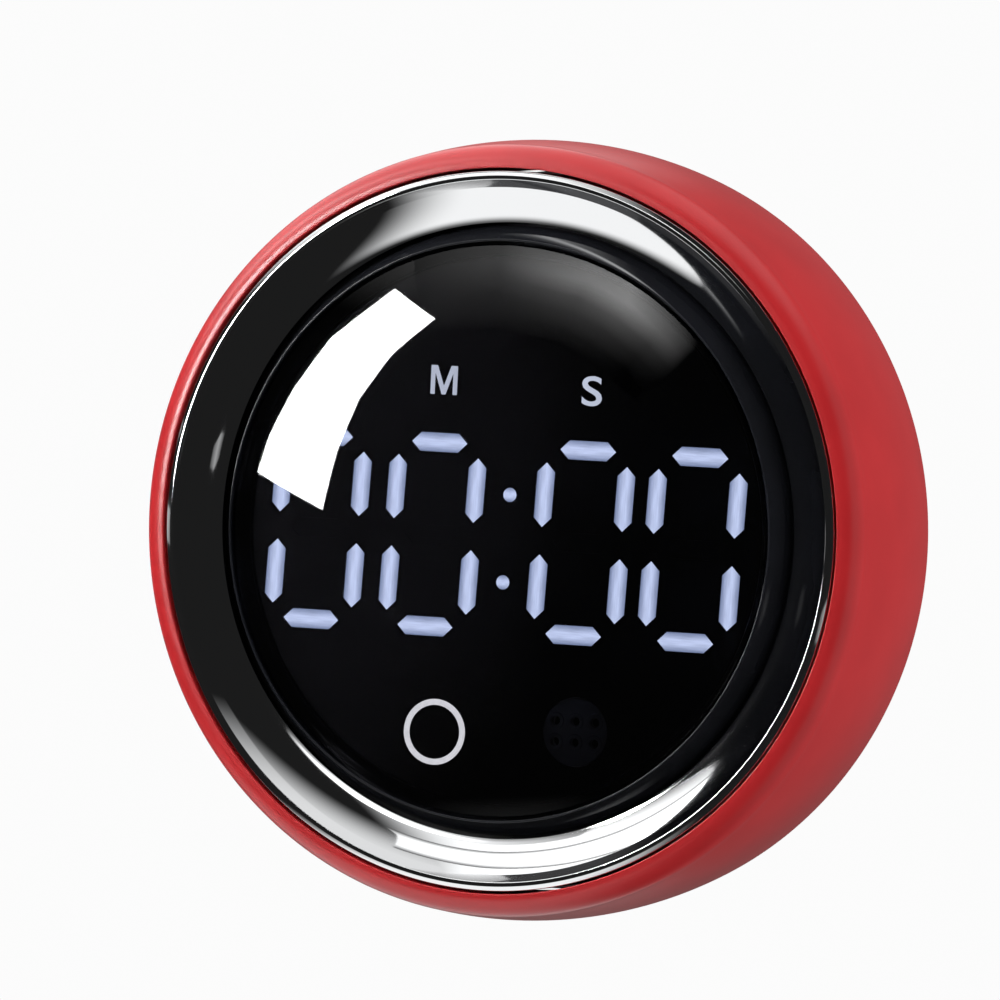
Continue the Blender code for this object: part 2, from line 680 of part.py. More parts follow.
def make_base_housing():
    profile = [(0, DECK_HIGH), (HOUSING_RADIUS, DECK_HIGH), (HOUSING_RADIUS, COLLAR_HEIGHT + GAP)]
    profile += [(COLLAR_RADIUS, COLLAR_HEIGHT), (COVER_RADIUS + 0.1, HOUSING_LOW)]
    profile += [(HOUSING_BORE, HOUSING_LOW), (HOUSING_BORE, DECK_LOW), (0, DECK_LOW)]
    housing = turned("base_housing", profile, BLACK, FRAME, closed=False, steps=OUTER_STEPS)

    outer_half = (BAY_HALF[0] + BAY_WALL, BAY_HALF[1] + BAY_WALL)
    outer_corner, inner_corner = BAY_CORNERS
    walls = [rounded_rectangle(outer_half, outer_corner), rounded_rectangle(BAY_HALF, inner_corner)]
    bosses = [circle(BOSS_RADIUS, 12, place) for place in BACK_SCREW_PLACES]
    inside = extruded_mesh("bay_and_bosses", walls + bosses, HOUSING_LOW, DECK_LOW + 0.3)
    change(housing, "UNION", inside)

    wire_places = [(WIRE_PATH[2][0], -WIRE_PATH[2][1]), (-WIRE_PATH[2][0], WIRE_PATH[2][1])]
    deck_holes = holes(core_screw_places(), CLEAR_HOLE) + holes(wire_places, WIRE_HOLE, 8)
    deck_holes.append(circle(SHAFT_CLEARANCE, 12, (0, ENCODER_Y)))
    change(housing, "DIFFERENCE", extruded_mesh("deck_holes", deck_holes, DECK_LOW - 1, DECK_HIGH + 1))
    boss_holes = holes(BACK_SCREW_PLACES, CLEAR_HOLE)
    change(housing, "DIFFERENCE", extruded_mesh("boss_holes", boss_holes, HOUSING_LOW - 1, BOSS_HOLE_TOP))

    low, high = DECK_HIGH + GAP, GEAR_LOW - GAP
    washer = [(WASHER_OUTER, high), (WASHER_OUTER, low), (WASHER_INNER, low), (WASHER_INNER, high)]
    turned("thrust_washer", washer, ACETAL, FRAME)


def make_back_cover():
    profile = [(0, COVER_HIGH), (COVER_RADIUS, COVER_HIGH), *COVER_EDGE, (BACK_FLAT_RADIUS, 0), (0, 0)]
    cover = turned("back_cover", profile, BLACK, FRAME, closed=False, steps=OUTER_STEPS)

    door_half = (DOOR_HALF[0] + DOOR_GAP, DOOR_HALF[1] + DOOR_GAP)
    slot_half = (KNOB_HALF[0] + SWITCH_TRAVEL + GAP, KNOB_HALF[1] + GAP)
    through = [rounded_rectangle(door_half, COVER_CORNER), rectangle(slot_half, (0, SWITCH_Y))]
    through += holes(BACK_SCREW_PLACES, CLEAR_HOLE)
    change(cover, "DIFFERENCE", extruded_mesh("cover_openings", through, -1, COVER_HIGH + 1))
    pockets = holes(MAGNET_PLACES, MAGNET_RADIUS + GAP, 24)
    change(cover, "DIFFERENCE", extruded_mesh("magnet_pockets", pockets, -1, MAGNET_POCKET))
    sinks = holes(BACK_SCREW_PLACES, BACK_SCREW_HEAD + GAP, 16)
    change(cover, "DIFFERENCE", extruded_mesh("screw_sinks", sinks, -1, BACK_SCREW_SINK))
    hinge_holes = cylinder_along_x("hinge_holes", HINGE_HOLE_HALF, HINGE_HOLE, HINGE_Y, HINGE_HEIGHT)
    change(cover, "DIFFERENCE", hinge_holes)

    for number, place in enumerate(MAGNET_PLACES, 1):
        disc = [circle(MAGNET_RADIUS, 24, place)]
        plate(f"magnet_{number}", disc, MAGNET_LOW, MAGNET_HIGH, NICKEL, FRAME)


def make_battery_door():
    """A flat door whose top edge is rounded about its hinge, with pins and a latch tongue."""
    half_thickness = DOOR_THICKNESS / 2
    edge = arc((0, 0), half_thickness, 90, -90, 4)
    bottom = -HINGE_Y - DOOR_HALF[1]
    section = [(bottom, -half_thickness)] + [(bottom, half_thickness)] + edge
    mesh = extruded_mesh("battery_door", [section], -DOOR_HALF[0], DOOR_HALF[0])
    along_x = Matrix(((0, 0, 1, 0), (1, 0, 0, 0), (0, 1, 0, 0), (0, 0, 0, 1)))
    mesh.transform(along_x)
    smooth(mesh)
    door = add_piece("battery_door", mesh, BLACK, DOOR_AXIS)
    pins = cylinder_along_x("hinge_pins", DOOR_HALF[0] + HINGE_PIN_OUT, HINGE_PIN, 0, 0)
    change(door, "UNION", pins)
    near, far = LATCH_INSET
    tongue_low = (-LATCH_HALF_WIDTH, bottom + near, half_thickness - 0.3)
    tongue_high = (LATCH_HALF_WIDTH, bottom + far, LATCH_HIGH - HINGE_HEIGHT)
    change(door, "UNION", box_mesh("latch_tongue", tongue_low, tongue_high))


def make_volume_switch():
    body = [rounded_rectangle(SWITCH_HALF, SWITCH_CORNER, (0, SWITCH_Y))]
    plate("volume_switch_body", body, SWITCH_LOW, SWITCH_HIGH, CHIP, FRAME)
    knob = [rounded_rectangle(KNOB_HALF, SWITCH_CORNER)]
    plate("volume_knob", knob, KNOB_LOW, KNOB_HIGH, BLACK, SWITCH_AXIS)


# ---------------------------------------------------------------- batteries and contacts


def lay_along_x(mesh, side):
    """Turns a mesh drawn along z to lie along x, pointing to the given side."""
    mesh.transform(Matrix.Rotation(math.radians(90 * side), 4, "Y"))


def make_battery(number, y, side):
    """A cell whose raised pole points to side, +1 right or -1 left."""
    pole = CONTACT_X - GAP
    base = pole - BATTERY_LENGTH
    shoulder = pole - BATTERY_NUB
    profile = [(0, pole), (BATTERY_POLE, pole), (BATTERY_POLE, shoulder)]
    profile += [(BATTERY_RADIUS - BATTERY_SHOULDER, shoulder), (BATTERY_RADIUS, shoulder - BATTERY_SHOULDER)]
    profile += [(BATTERY_RADIUS, base + BATTERY_CRIMP), (BATTERY_RADIUS - BATTERY_CRIMP, base), (0, base)]
    place = (0, y, BATTERY_HEIGHT)
    cell = turned(f"battery_{number}", profile, BATTERY, FRAME, closed=False, steps=24, location=place)
    cell.rotation_euler = (0, math.radians(90 * side), 0)


def make_contact(name, side, low_y, high_y):
    low_x, high_x = sorted((side * CONTACT_X, side * (CONTACT_X + CONTACT_THICKNESS)))
    corners = (low_x, low_y, CONTACT_LOW), (high_x, high_y, CONTACT_HIGH)
    add_piece(name, box_mesh(name, *corners), NICKEL, FRAME)


def make_contact_spring(number, y, side):
    """A coil that narrows from its contact plate towards the cell."""
    far = CONTACT_X - GAP - SPRING_WIRE
    near = far - SPRING_LENGTH + 2 * SPRING_WIRE
    coil = coil_points(*SPRING_RADII, 3, 8, near, far)
    mesh = wire_mesh(f"contact_spring_{number}", coil, SPRING_WIRE)
    lay_along_x(mesh, side)
    add_piece(f"contact_spring_{number}", mesh, NICKEL, FRAME, (0, y, BATTERY_HEIGHT))


def make_wire(name, side, material):
    points = [(side * x, -side * y, height) for x, y, height in WIRE_PATH]
    add_piece(name, wire_mesh(name, points, WIRE_RADIUS, 2), material, FRAME)


def make_power():
    for number, side in ((1, 1), (2, -1), (3, 1)):
        y = (2 - number) * BATTERY_PITCH
        make_battery(number, y, side)
        make_contact_spring(number, y, -side)
    top = BATTERY_PITCH + CONTACT_HALF_WIDTH
    make_contact("negative_contact", -1, BATTERY_PITCH - CONTACT_HALF_WIDTH, top)
    make_contact("left_bridge_contact", -1, -top, CONTACT_HALF_WIDTH)
    make_contact("right_bridge_contact", 1, -CONTACT_HALF_WIDTH, top)
    make_contact("positive_contact", 1, -top, CONTACT_HALF_WIDTH - BATTERY_PITCH)
    make_wire("positive_wire", 1, RED_WIRE)
    make_wire("negative_wire", -1, BLACK_WIRE)


# ---------------------------------------------------------------- screws


def make_screw(name, place, heights, head_radius, shank_radius=SCREW_SHANK):
    """A pan-head screw put in from the back: heights of its head, under its head and its tip."""
    head, under, end = heights
    profile = [(0, end), (shank_radius * 0.4, end), (shank_radius, end - SCREW_TIP), (shank_radius, under)]
    profile += [(head_radius, under), (head_radius, head), (0, head)]
    turned(name, profile, STEEL, FRAME, closed=False, steps=12, location=(*place, 0))


def make_screws():
    for number, place in enumerate(BACK_SCREW_PLACES, 1):
        make_screw(f"back_screw_{number}", place, BACK_SCREW_HEIGHTS, BACK_SCREW_HEAD)
    for number, place in enumerate(core_screw_places(), 1):
        make_screw(f"core_screw_{number}", place, CORE_SCREW_HEIGHTS, SMALL_SCREW_HEAD)
    for number, place in enumerate(DISPLAY_SCREW_PLACES, 1):
        heights = DISPLAY_SCREW_HEIGHTS
        make_screw(f"display_screw_{number}", place, heights, SMALL_SCREW_HEAD, DISPLAY_SCREW_SHANK)


make_outer_ring()
make_chrome_ring()
make_ring_drive()
make_core_frame()
make_lens()
make_display()
make_encoder()
make_base_housing()
make_back_cover()
make_battery_door()
make_volume_switch()
make_power()
make_screws()
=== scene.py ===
"""Looks of the kitchen timer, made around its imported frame.

Sizes are in millimetres until a mesh is made. A place on the timer is (x, y, height): x to the
right, y up the face, and height out of the flat back. In the frame that is (x, -height, y).
"""

import math

import bmesh
import bpy
from mathutils import Matrix, Vector


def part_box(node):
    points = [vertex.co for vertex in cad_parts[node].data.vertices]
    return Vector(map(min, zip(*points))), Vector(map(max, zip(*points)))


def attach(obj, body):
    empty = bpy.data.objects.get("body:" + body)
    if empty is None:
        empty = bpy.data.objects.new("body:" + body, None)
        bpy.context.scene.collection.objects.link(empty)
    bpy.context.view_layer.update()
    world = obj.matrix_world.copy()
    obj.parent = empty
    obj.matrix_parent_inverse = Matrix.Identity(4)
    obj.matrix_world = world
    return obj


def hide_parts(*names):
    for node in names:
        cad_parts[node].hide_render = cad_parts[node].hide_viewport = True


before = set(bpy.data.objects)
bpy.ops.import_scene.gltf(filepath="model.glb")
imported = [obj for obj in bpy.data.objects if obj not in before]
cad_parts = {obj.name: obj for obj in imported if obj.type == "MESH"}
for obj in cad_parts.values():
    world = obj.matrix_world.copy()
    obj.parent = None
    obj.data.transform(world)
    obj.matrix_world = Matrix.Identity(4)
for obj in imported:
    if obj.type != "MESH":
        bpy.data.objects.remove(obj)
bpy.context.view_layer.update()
SCENE = bpy.context.scene.collection

MM = 0.001
TURN_STEPS = 256
SMALL_STEPS = 64
SHARP_ANGLE = math.radians(32)

# Shapes that the boxes of the frame don't give
CROWN_HEIGHT = 15.9
CROWN_CURVE = 62.0
SHOULDER = 2.4
FRONT_ROUND = 0.12
HEEL_ROUND = 0.5
RING_BORE = 36.2
RING_BACK_BORE = 36.8
BORE_STEP = 14.2

TRIM_BORE = 30.8
TRIM_WALL = 0.9
TRIM_WALL_TOP = 25.6
VALLEY_HEIGHT = 24.45
VALLEY_CURVE = 9.36
VALLEY_SLOPES = (14.0, 38.0)
VALLEY_UNDER = (-58, -75)
LIP_INNER = 35.05
LIP_OUTER = 35.42
LIP_SLOPE = 0.03
LIP_ROUND = 0.5
LIP_DROP = 0.18

BEZEL_TOP = (29.1, 26.75)
BEZEL_SKIRT = 23.5
BEZEL_BORE = 28.9
SEAT = (27.6, 24.8)
LENS_EDGE = 26.6
LENS_WALL = 1.5
LENS_CHAMFER = 0.15

DISPLAY_Y = -0.77
DIGIT_CENTRES = (-20.2, -7.78, 8.22, 20.2)
DIGIT_HALF = (4.3, 9.22)
UPRIGHT_CENTRE = 4.6
UPRIGHT_LENGTH = 6.45
BAR_LENGTH = 5.95
BAR_WIDTH = 1.88
SLANT = math.tan(math.radians(2))
COLON_X = 0.22
COLON_Y = 4.38
COLON_RADIUS = 0.7
WINDOW_GAP = 0.02
WINDOW_SINK = 0.06
CAPITAL_M = [(-145, -145), (-145, 145), (-72, 145), (0, -55), (72, 145), (145, 145), (145, -145)]
CAPITAL_M += [(95, -145), (95, 62), (22, -145), (-22, -145), (-95, 62), (-95, -145)]
LETTERS = (
    ("lit_letter_M", "M", 2.9, 2.9, (-7.3, 14.7)),
    ("lit_letter_S", "S", 2.2, 3.0, (8.65, 14.4)),
)
LETTER_MAP = 30.0
TOUCH_RADIUS = 3.3
TOUCH_STROKE = 0.6
INK_HEIGHT = 0.04

# Radius of a grille hole's collar, and its height over the grille
HOLE_PITCH = 2.1
HOLE_RADIUS = 0.45
COLLAR = ((0.45, -0.2), (0.45, -0.02), (0.5, 0.06), (0.78, 0.06), (0.86, -0.02), (0.86, -0.2))

DRUM_RADIUS = 35.4
DRUM_FOOT = 6.7
FLANGE_EDGE = (36.4, 6.4, 0.25)
FOOT_RADIUS = 35.7
HOUSING_BORE = 33.8
BAY_CEILING = 12.75
BAY_HALF = (25.4, 17.0)
BAY_WALL = 1.0
BAY_WALL_TOP = 13.0
RIB_HALF = (16.0, 0.45)
RIB_HEIGHTS = (10.4, 12.9)
SHAFT_HOLE = 1.6

COVER_EDGE = (1.6, 1.2)
COVER_FLAT = [(34.2, 0, 1.0), (33.0, 0)]
COVER_GROOVE = [(32.2, 0), (32.1, 0.25), (31.7, 0.25), (31.6, 0)]
POCKET_RADIUS = 4.8
POCKET_DEPTH = 1.8
SCREW_SINK = (2.2, 1.5)
SCREW_HOLE = 1.1
DOOR_GAP = 0.3
DOOR_X = 25.7
DOOR_TOP = 17.0
DOOR_THICKNESS = 1.6
DOOR_EDGE = 0.15
HINGE_HOLE = 0.5
HINGE_REACH = 1.2
PIN_RADIUS = 0.3
PIN_REACH = 0.8
GROOVE_PITCH = 1.5
KNOB_HALF = 1.5
SLOT_GAP = 0.3
SLOT_HALF = 1.3
SWITCH_TRAVEL = 2.0
VOLUME_DOTS = ((-2.4, 0.25), (0, 0.4), (2.4, 0.55))
DOTS_ABOVE = 4.0
SPRING_WIRE = 0.3
SPRING_RADII = (2.4, 3.6)
SPRING_TURNS = 3.5
POLE_RADIUS = 1.9
POLE_HEIGHT = 0.9

CAMERA_AZIMUTH = 22.1
CAMERA_ELEVATION = 1.5
CAMERA_TIP = math.radians(2.8)
CAMERA_DISTANCE = 1.2
CAMERA_LENS = 433.7
CAMERA_AIM = (0.42, 3.09)
FLOOR_RADIUS = 2.4
FLOOR_DROP = 0.28

# Light of the surroundings: the axis along which it grows, from where, to where, and how bright it gets
SKY = (
    ("Z", 0.27, 0.47, 1.6),
    ("X", -0.08, -0.38, 1.0),
    ("Z", -0.43, -0.57, 1.25),
    ("X", 0.05, -0.25, 1.0),
    ("Z", 0.6, 0.95, 1.0),
    ("Y", 0.1, 0.6, 0.14),
)
SKY_BASE = 0.015
SKY_SEEN = 0.97
LAMP_STEPS = 6


# ---- places


def face(x, y, height):
    """A place on the timer, in the frame and in metres."""
    return Vector((x * MM, -height * MM, y * MM))


def span(node):
    """Lowest and highest corner of a frame node as (x, y, height), in millimetres."""
    low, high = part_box(node)
    return Vector((low.x, low.z, -high.y)) / MM, Vector((high.x, high.z, -low.y)) / MM


def middle(node):
    low, high = span(node)
    return (low + high) / 2


def arc(centre, radius, start, end, steps):
    angles = [math.radians(start + (end - start) * i / steps) for i in range(steps + 1)]
    return [(centre[0] + radius * math.cos(a), centre[1] + radius * math.sin(a)) for a in angles]


def circle(radius, steps, centre=(0, 0)):
    return arc(centre, radius, 0, 360 * (steps - 1) / steps, steps - 1)


def rounded(corners, steps=5):
    """A closed outline. A corner is (across, up) or, with a fillet, (across, up, radius)."""
    points = []
    for i, corner in enumerate(corners):
        here = Vector(corner[:2])
        if len(corner) == 2:
            points.append(tuple(here))
            continue
        to_last = (Vector(corners[i - 1][:2]) - here).normalized()
        to_next = (Vector(corners[(i + 1) % len(corners)][:2]) - here).normalized()
        half = to_last.angle(to_next) / 2
        centre = here + (to_last + to_next).normalized() * corner[2] / math.sin(half)
        reach = corner[2] / math.tan(half)
        first, last = here + to_last * reach - centre, here + to_next * reach - centre
        for step in range(steps + 1):
            spoke = first.lerp(last, step / steps).normalized() * corner[2]
            points.append(tuple(centre + spoke))
    return points


def rounded_rectangle(half, corner, centre=(0, 0), steps=6):
    (half_x, half_y), (x, y) = half, centre
    signs = ((1, 1), (-1, 1), (-1, -1), (1, -1))
    corners = [(x + sx * half_x, y + sy * half_y, corner) for sx, sy in signs]
    return rounded(corners, steps)


# ---- nodes


def add(tree, kind, inputs=(), **settings):
    """Adds a node; each input is a plain value or another node's output."""
    made = tree.nodes.new(kind)
    for name, value in settings.items():
        setattr(made, name, value)
    for socket, value in dict(inputs).items():
        if isinstance(value, bpy.types.NodeSocket):
            tree.links.new(value, made.inputs[socket])
        else:
            made.inputs[socket].default_value = value
    return made


def colour(hex_code):
    """An sRGB colour such as "C83A3A" as the linear colour that shaders use."""
    parts = [int(hex_code[i : i + 2], 16) / 255 for i in (0, 2, 4)]
    return (*[p / 12.92 if p <= 0.04045 else ((p + 0.055) / 1.055) ** 2.4 for p in parts], 1.0)


def per_mm(size):
    """A noise texture's scale for features of that size in millimetres."""
    return 1 / (size * MM)


# ---- meshes


def link(name, mesh):
    made = bpy.data.objects.new(name, mesh)
    SCENE.objects.link(made)
    return made


def remove(piece):
    bpy.data.objects.remove(piece, do_unlink=True)


def settle(piece):
    """Turns what the modifiers make into the piece's own plain mesh."""
    bpy.context.view_layer.update()
    graph = bpy.context.evaluated_depsgraph_get()
    mesh = bpy.data.meshes.new_from_object(piece.evaluated_get(graph))
    piece.modifiers.clear()
    piece.data = mesh
    mesh.name = piece.name
    return piece


def clean(piece, recalculate=True):
    """Closes seams and poles, points the faces outwards and marks the sharp edges."""
    mesh = bmesh.new()
    mesh.from_mesh(piece.data)
    bmesh.ops.remove_doubles(mesh, verts=mesh.verts, dist=1e-7)
    bmesh.ops.dissolve_degenerate(mesh, edges=mesh.edges, dist=1e-8)
    loose = [v for v in mesh.verts if not v.link_faces]
    bmesh.ops.delete(mesh, geom=loose, context="VERTS")
    if recalculate:
        bmesh.ops.recalc_face_normals(mesh, faces=mesh.faces)
    for each in mesh.faces:
        each.smooth = True
    mesh.to_mesh(piece.data)
    mesh.free()
    piece.data.set_sharp_from_angle(angle=SHARP_ANGLE)
    return piece


def new_tree(name, **sizes):
    """A geometry tree with a named input for each size, and its two ends."""
    tree = bpy.data.node_groups.new(name, "GeometryNodeTree")
    tree.interface.new_socket("Geometry", in_out="INPUT", socket_type="NodeSocketGeometry")
    for size, kind in sizes.items():
        tree.interface.new_socket(size, in_out="INPUT", socket_type="NodeSocket" + kind)
    tree.interface.new_socket("Geometry", in_out="OUTPUT", socket_type="NodeSocketGeometry")
    return tree, tree.nodes.new("NodeGroupInput")


def end_tree(tree, start, geometry):
    whole = add(tree, "GeometryNodeRealizeInstances", {"Geometry": geometry})
    finish = {"Geometry": whole.outputs[0], "Material": start.outputs["Finish"]}
    add(tree, "NodeGroupOutput", {"Geometry": add(tree, "GeometryNodeSetMaterial", finish).outputs[0]})
    return tree


def grown(name, tree, mesh, values):
    """The piece that a geometry tree makes from a mesh, as a plain mesh."""
    piece = link(name, mesh)
    modifier = piece.modifiers.new(tree.name, "NODES")
    modifier.node_group = tree
    for item in tree.interface.items_tree:
        if item.in_out == "INPUT" and item.name in values:
            modifier[item.identifier] = values[item.name]
    return clean(settle(piece))


LATHE_PATH = 1.0


def lathe_tree():
    """Carries an outline of (radius, height) points once round the timer's axis."""
    tree, start = new_tree("turned on the axis", Steps="Int", Finish="Material")
    outline = add(tree, "GeometryNodeMeshToCurve", {"Mesh": start.outputs["Geometry"]})
    path = {"Resolution": start.outputs["Steps"], "Radius": LATHE_PATH * MM}
    path = add(tree, "GeometryNodeCurvePrimitiveCircle", path)
    path = add(tree, "GeometryNodeSetCurveNormal", {"Curve": path.outputs[0]}, mode="Z_UP")
    swept = {"Curve": path.outputs[0], "Profile Curve": outline.outputs[0]}
    swept = add(tree, "GeometryNodeCurveToMesh", swept)
    turn = {"Geometry": swept.outputs[0], "Rotation": (-math.pi / 2, 0, 0)}
    return end_tree(tree, start, add(tree, "GeometryNodeTransform", turn).outputs[0])


def set_out_tree():
    """Puts a copy of a pattern on each point, turned as the point says."""
    tree, start = new_tree("set out on points", Pattern="Object", Finish="Material")
    pattern = add(tree, "GeometryNodeObjectInfo", {"Object": start.outputs["Pattern"]})
    turn = add(tree, "GeometryNodeInputNamedAttribute", {"Name": "turn"}, data_type="FLOAT_VECTOR")
    copies = {"Points": start.outputs["Geometry"], "Instance": pattern.outputs["Geometry"]}
    copies["Rotation"] = turn.outputs[0]
    return end_tree(tree, start, add(tree, "GeometryNodeInstanceOnPoints", copies).outputs[0])


def coil_tree():
    """Winds a wire into a coil up the z axis."""
    sizes = {"Start": "Float", "End": "Float", "Height": "Float", "Turns": "Float", "Wire": "Float"}
    tree, start = new_tree("wound coil", **sizes, Finish="Material")
    wound = {"Resolution": 28, "Rotations": start.outputs["Turns"], "Start Radius": start.outputs["Start"]}
    wound |= {"End Radius": start.outputs["End"], "Height": start.outputs["Height"]}
    wound = add(tree, "GeometryNodeCurveSpiral", wound)
    section = {"Resolution": 12, "Radius": start.outputs["Wire"]}
    section = add(tree, "GeometryNodeCurvePrimitiveCircle", section)
    wire = {"Curve": wound.outputs[0], "Profile Curve": section.outputs[0], "Fill Caps": True}
    return end_tree(tree, start, add(tree, "GeometryNodeCurveToMesh", wire).outputs[0])


LATHE = lathe_tree()
SET_OUT = set_out_tree()
COIL = coil_tree()


def turned(name, outline, finish, steps=TURN_STEPS, closed=True):
    """A piece turned about the timer's axis from (radius, height) points."""
    mesh = bpy.data.meshes.new(name)
    points = [((radius - LATHE_PATH) * MM, height * MM, 0) for radius, height in outline]
    edges = [(i, i + 1) for i in range(len(points) - 1)]
    if closed:
        edges.append((len(points) - 1, 0))
    mesh.from_pydata(points, edges, [])
    return grown(name, LATHE, mesh, {"Steps": steps, "Finish": finish})


def rod(name, radius, low, high, steps=SMALL_STEPS):
    """A plain rod on the timer's axis, to cut with or to join."""
    return turned(name, [(0, low), (radius, low), (radius, high), (0, high)], None, steps, False)


def set_out(name, pattern, places, finish, turns=None):
    """One piece made of copies of a pattern, one at each place. The pattern is used up."""
    mesh = bpy.data.meshes.new(name)
    mesh.from_pydata([face(*place) for place in places], [], [])
    turn = mesh.attributes.new("turn", "FLOAT_VECTOR", "POINT")
    for value, angles in zip(turn.data, turns or [(0, 0, 0)] * len(places)):
        value.vector = angles
    piece = grown(name, SET_OUT, mesh, {"Pattern": pattern, "Finish": finish})
    remove(pattern)
    return piece


def extruded(name, outlines, low, high, finish=None):
    """A flat piece between two heights. Each outline after the first that lies in it is a hole."""
    flat = bmesh.new()
    for outline in outlines:
        points = [flat.verts.new(face(x, y, low)) for x, y in outline]
        for i, point in enumerate(points):
            flat.edges.new((points[i - 1], point))
    bmesh.ops.triangle_fill(flat, edges=flat.edges, use_dissolve=False, use_beauty=True)
    bmesh.ops.dissolve_limit(flat, angle_limit=0.001, verts=flat.verts, edges=flat.edges)
    raised = bmesh.ops.extrude_face_region(flat, geom=flat.faces[:], use_keep_orig=True)
    up = [item for item in raised["geom"] if isinstance(item, bmesh.types.BMVert)]
    bmesh.ops.translate(flat, verts=up, vec=(0, (low - high) * MM, 0))
    mesh = bpy.data.meshes.new(name)
    flat.to_mesh(mesh)
    flat.free()
    if finish:
        mesh.materials.append(finish)
    return clean(link(name, mesh))


def combine(piece, tool, operation="DIFFERENCE"):
    """Cuts a tool out of a piece, or joins it to the piece, and uses the tool up."""
    change = piece.modifiers.new("change", "BOOLEAN")
    change.operation = operation
    change.solver = "EXACT"
    change.object = tool
    settle(piece)
    remove(tool)
    return clean(piece, recalculate=False)


def soften(piece, width, segments=2):
    """Rounds the sharp edges of a piece by a small width."""
    edge = piece.modifiers.new("soft edges", "BEVEL")
    edge.width = width * MM
    edge.segments = segments
    edge.angle_limit = SHARP_ANGLE
    return clean(settle(piece), recalculate=False)


def mount(piece, body, slot, *nodes):
    """Fixes a finished piece to its body and hides the frame nodes it stands for. The material slot is not
    used.
    """
    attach(piece, body)
    if nodes:
        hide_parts(*nodes)
    return piece


# ---- materials


def new_material(name):
    """A material with an empty tree and its place on the piece."""
    material = bpy.data.materials.new(name)
    material.use_nodes = True
    tree = material.node_tree
    tree.nodes.clear()
    place = add(tree, "ShaderNodeTexCoord").outputs["Object"]
    return material, tree, place


def end_material(tree, shader, values):
    made = add(tree, shader, values)
    add(tree, "ShaderNodeOutputMaterial", {"Surface": made.outputs[0]})


def clouded(tree, place, size, detail, first, second):
    """A colour that drifts between two close shades, in clouds of that size in millimetres."""
    clouds = {"Vector": place, "Scale": per_mm(size), "Detail": detail}
    clouds = add(tree, "ShaderNodeTexNoise", clouds).outputs["Fac"]
    ramp = add(tree, "ShaderNodeValToRGB", {"Fac": clouds})
    shades = ramp.color_ramp.elements
    shades[0].position, shades[0].color = 0.35, colour(first)
    shades[1].position, shades[1].color = 0.65, colour(second)
    return ramp.outputs["Color"]


def uneven(tree, place, size, detail, low, high):
    """A roughness that drifts from low to high, over patches of that size in millimetres."""
    patches = {"Vector": place, "Scale": per_mm(size), "Detail": detail}
    patches = add(tree, "ShaderNodeTexNoise", patches).outputs["Fac"]
    return add(tree, "ShaderNodeMapRange", {"Value": patches, "To Min": low, "To Max": high}).outputs[0]


def grained(tree, place, size, detail, depth):
    """A relief of that size and depth in millimetres."""
    grain = {"Vector": place, "Scale": per_mm(size), "Detail": detail}
    grain = add(tree, "ShaderNodeTexNoise", grain).outputs["Fac"]
    return add(tree, "ShaderNodeBump", {"Height": grain, "Distance": depth * MM}).outputs[0]


def moulded(name, shades, roughness, grain, depth, **fixed):
    """A moulded plastic: two close shades in slow clouds, and the tool's fine grain."""
    material, tree, place = new_material(name)
    values = {"Base Color": clouded(tree, place, 9.0, 2.0, *shades)}
    values["Roughness"] = uneven(tree, place, 2.5, 4.0, *roughness)
    values["Normal"] = grained(tree, place, grain, 3.0, depth)
    values |= {name.replace("_", " "): value for name, value in fixed.items()}
    end_material(tree, "ShaderNodeBsdfPrincipled", values)
    return material


def metal(name, shade, roughness, wave, depth):
    """A metal: its colour, and a slow waviness that bends what it mirrors."""
    material, tree, place = new_material(name)
    values = {"Base Color": colour(shade), "Metallic": 1.0}
    values["Roughness"] = uneven(tree, place, 1.2, 4.0, *roughness)
    values["Normal"] = grained(tree, place, wave, 1.0, depth)
    end_material(tree, "ShaderNodeBsdfPrincipled", values)
    return material


# ABS moulded in a spark-eroded tool: satin, so that it holds one soft highlight on the shoulder.
# The grain is drawn at 0.25 mm, which is coarser than the real one, so that it shows at all.
red_abs = moulded("moulded red satin ABS", ("C1272B", "C92A2E"), (0.26, 0.32), 0.25, 0.0015, IOR=1.56)

# Chrome plating on polished ABS: a clean mirror, a little wavy where the plastic under it sank.
chrome = metal("chrome plated ABS", "DCDDDE", (0.03, 0.06), 7.0, 0.0015)

# ABS from a polished tool: black and glossy, with the faint ripple of moulding.
gloss_black = moulded("polished black ABS", ("1D1E22", "212227"), (0.06, 0.10), 5.0, 0.001, IOR=1.53)

# Fine-textured black ABS of the housing: matt and a little grey where light grazes it.
matt_black = moulded("textured black ABS", ("17181A", "1D1E20"), (0.48, 0.62), 0.35, 0.02, IOR=1.53)

# Screen-printed polycarbonate film: dead black under the lens, very slightly glossy.
film = moulded("printed black display film", ("050506", "070709"), (0.35, 0.45), 0.6, 0.002, IOR=1.58)

# Unlit windows of the display: the tinted film over the unlit cavity, hardly lighter than the film; the
# cavity's darkness is painted shade in this colour.
window_tint_and_painted_shade = ("0A0B0F", "0C0D12")
unlit_window_painted_shade = moulded("tinted film over a dark cavity", window_tint_and_painted_shade, (0.30, 0.40), 0.6, 0.001, IOR=1.58)

# Dark grey ABS of the grille: it shows faintly through the lens.
grille_grey = moulded("moulded dark grey ABS", ("8A8B90", "96979C"), (0.45, 0.55), 0.3, 0.01, IOR=1.53)

# Acetal of gears and bearings: waxy white, with soft light just under its skin.
acetal = moulded("moulded natural acetal", ("DEDCD2", "E6E4DB"), (0.34, 0.44), 0.8, 0.006, IOR=1.48)

# Glass-filled white ABS that throws the light of the chips forward.
reflector = moulded("moulded white ABS reflector", ("E4E6E8", "EEF0F1"), (0.40, 0.52), 0.7, 0.008, IOR=1.53)

# Milky polycarbonate sheet: a soft white without grain.
milky_shades = ("D6DADF", "DFE3E8")
milky = moulded("extruded milky polycarbonate sheet", milky_shades, (0.30, 0.36), 1.5, 0.002, IOR=1.58)

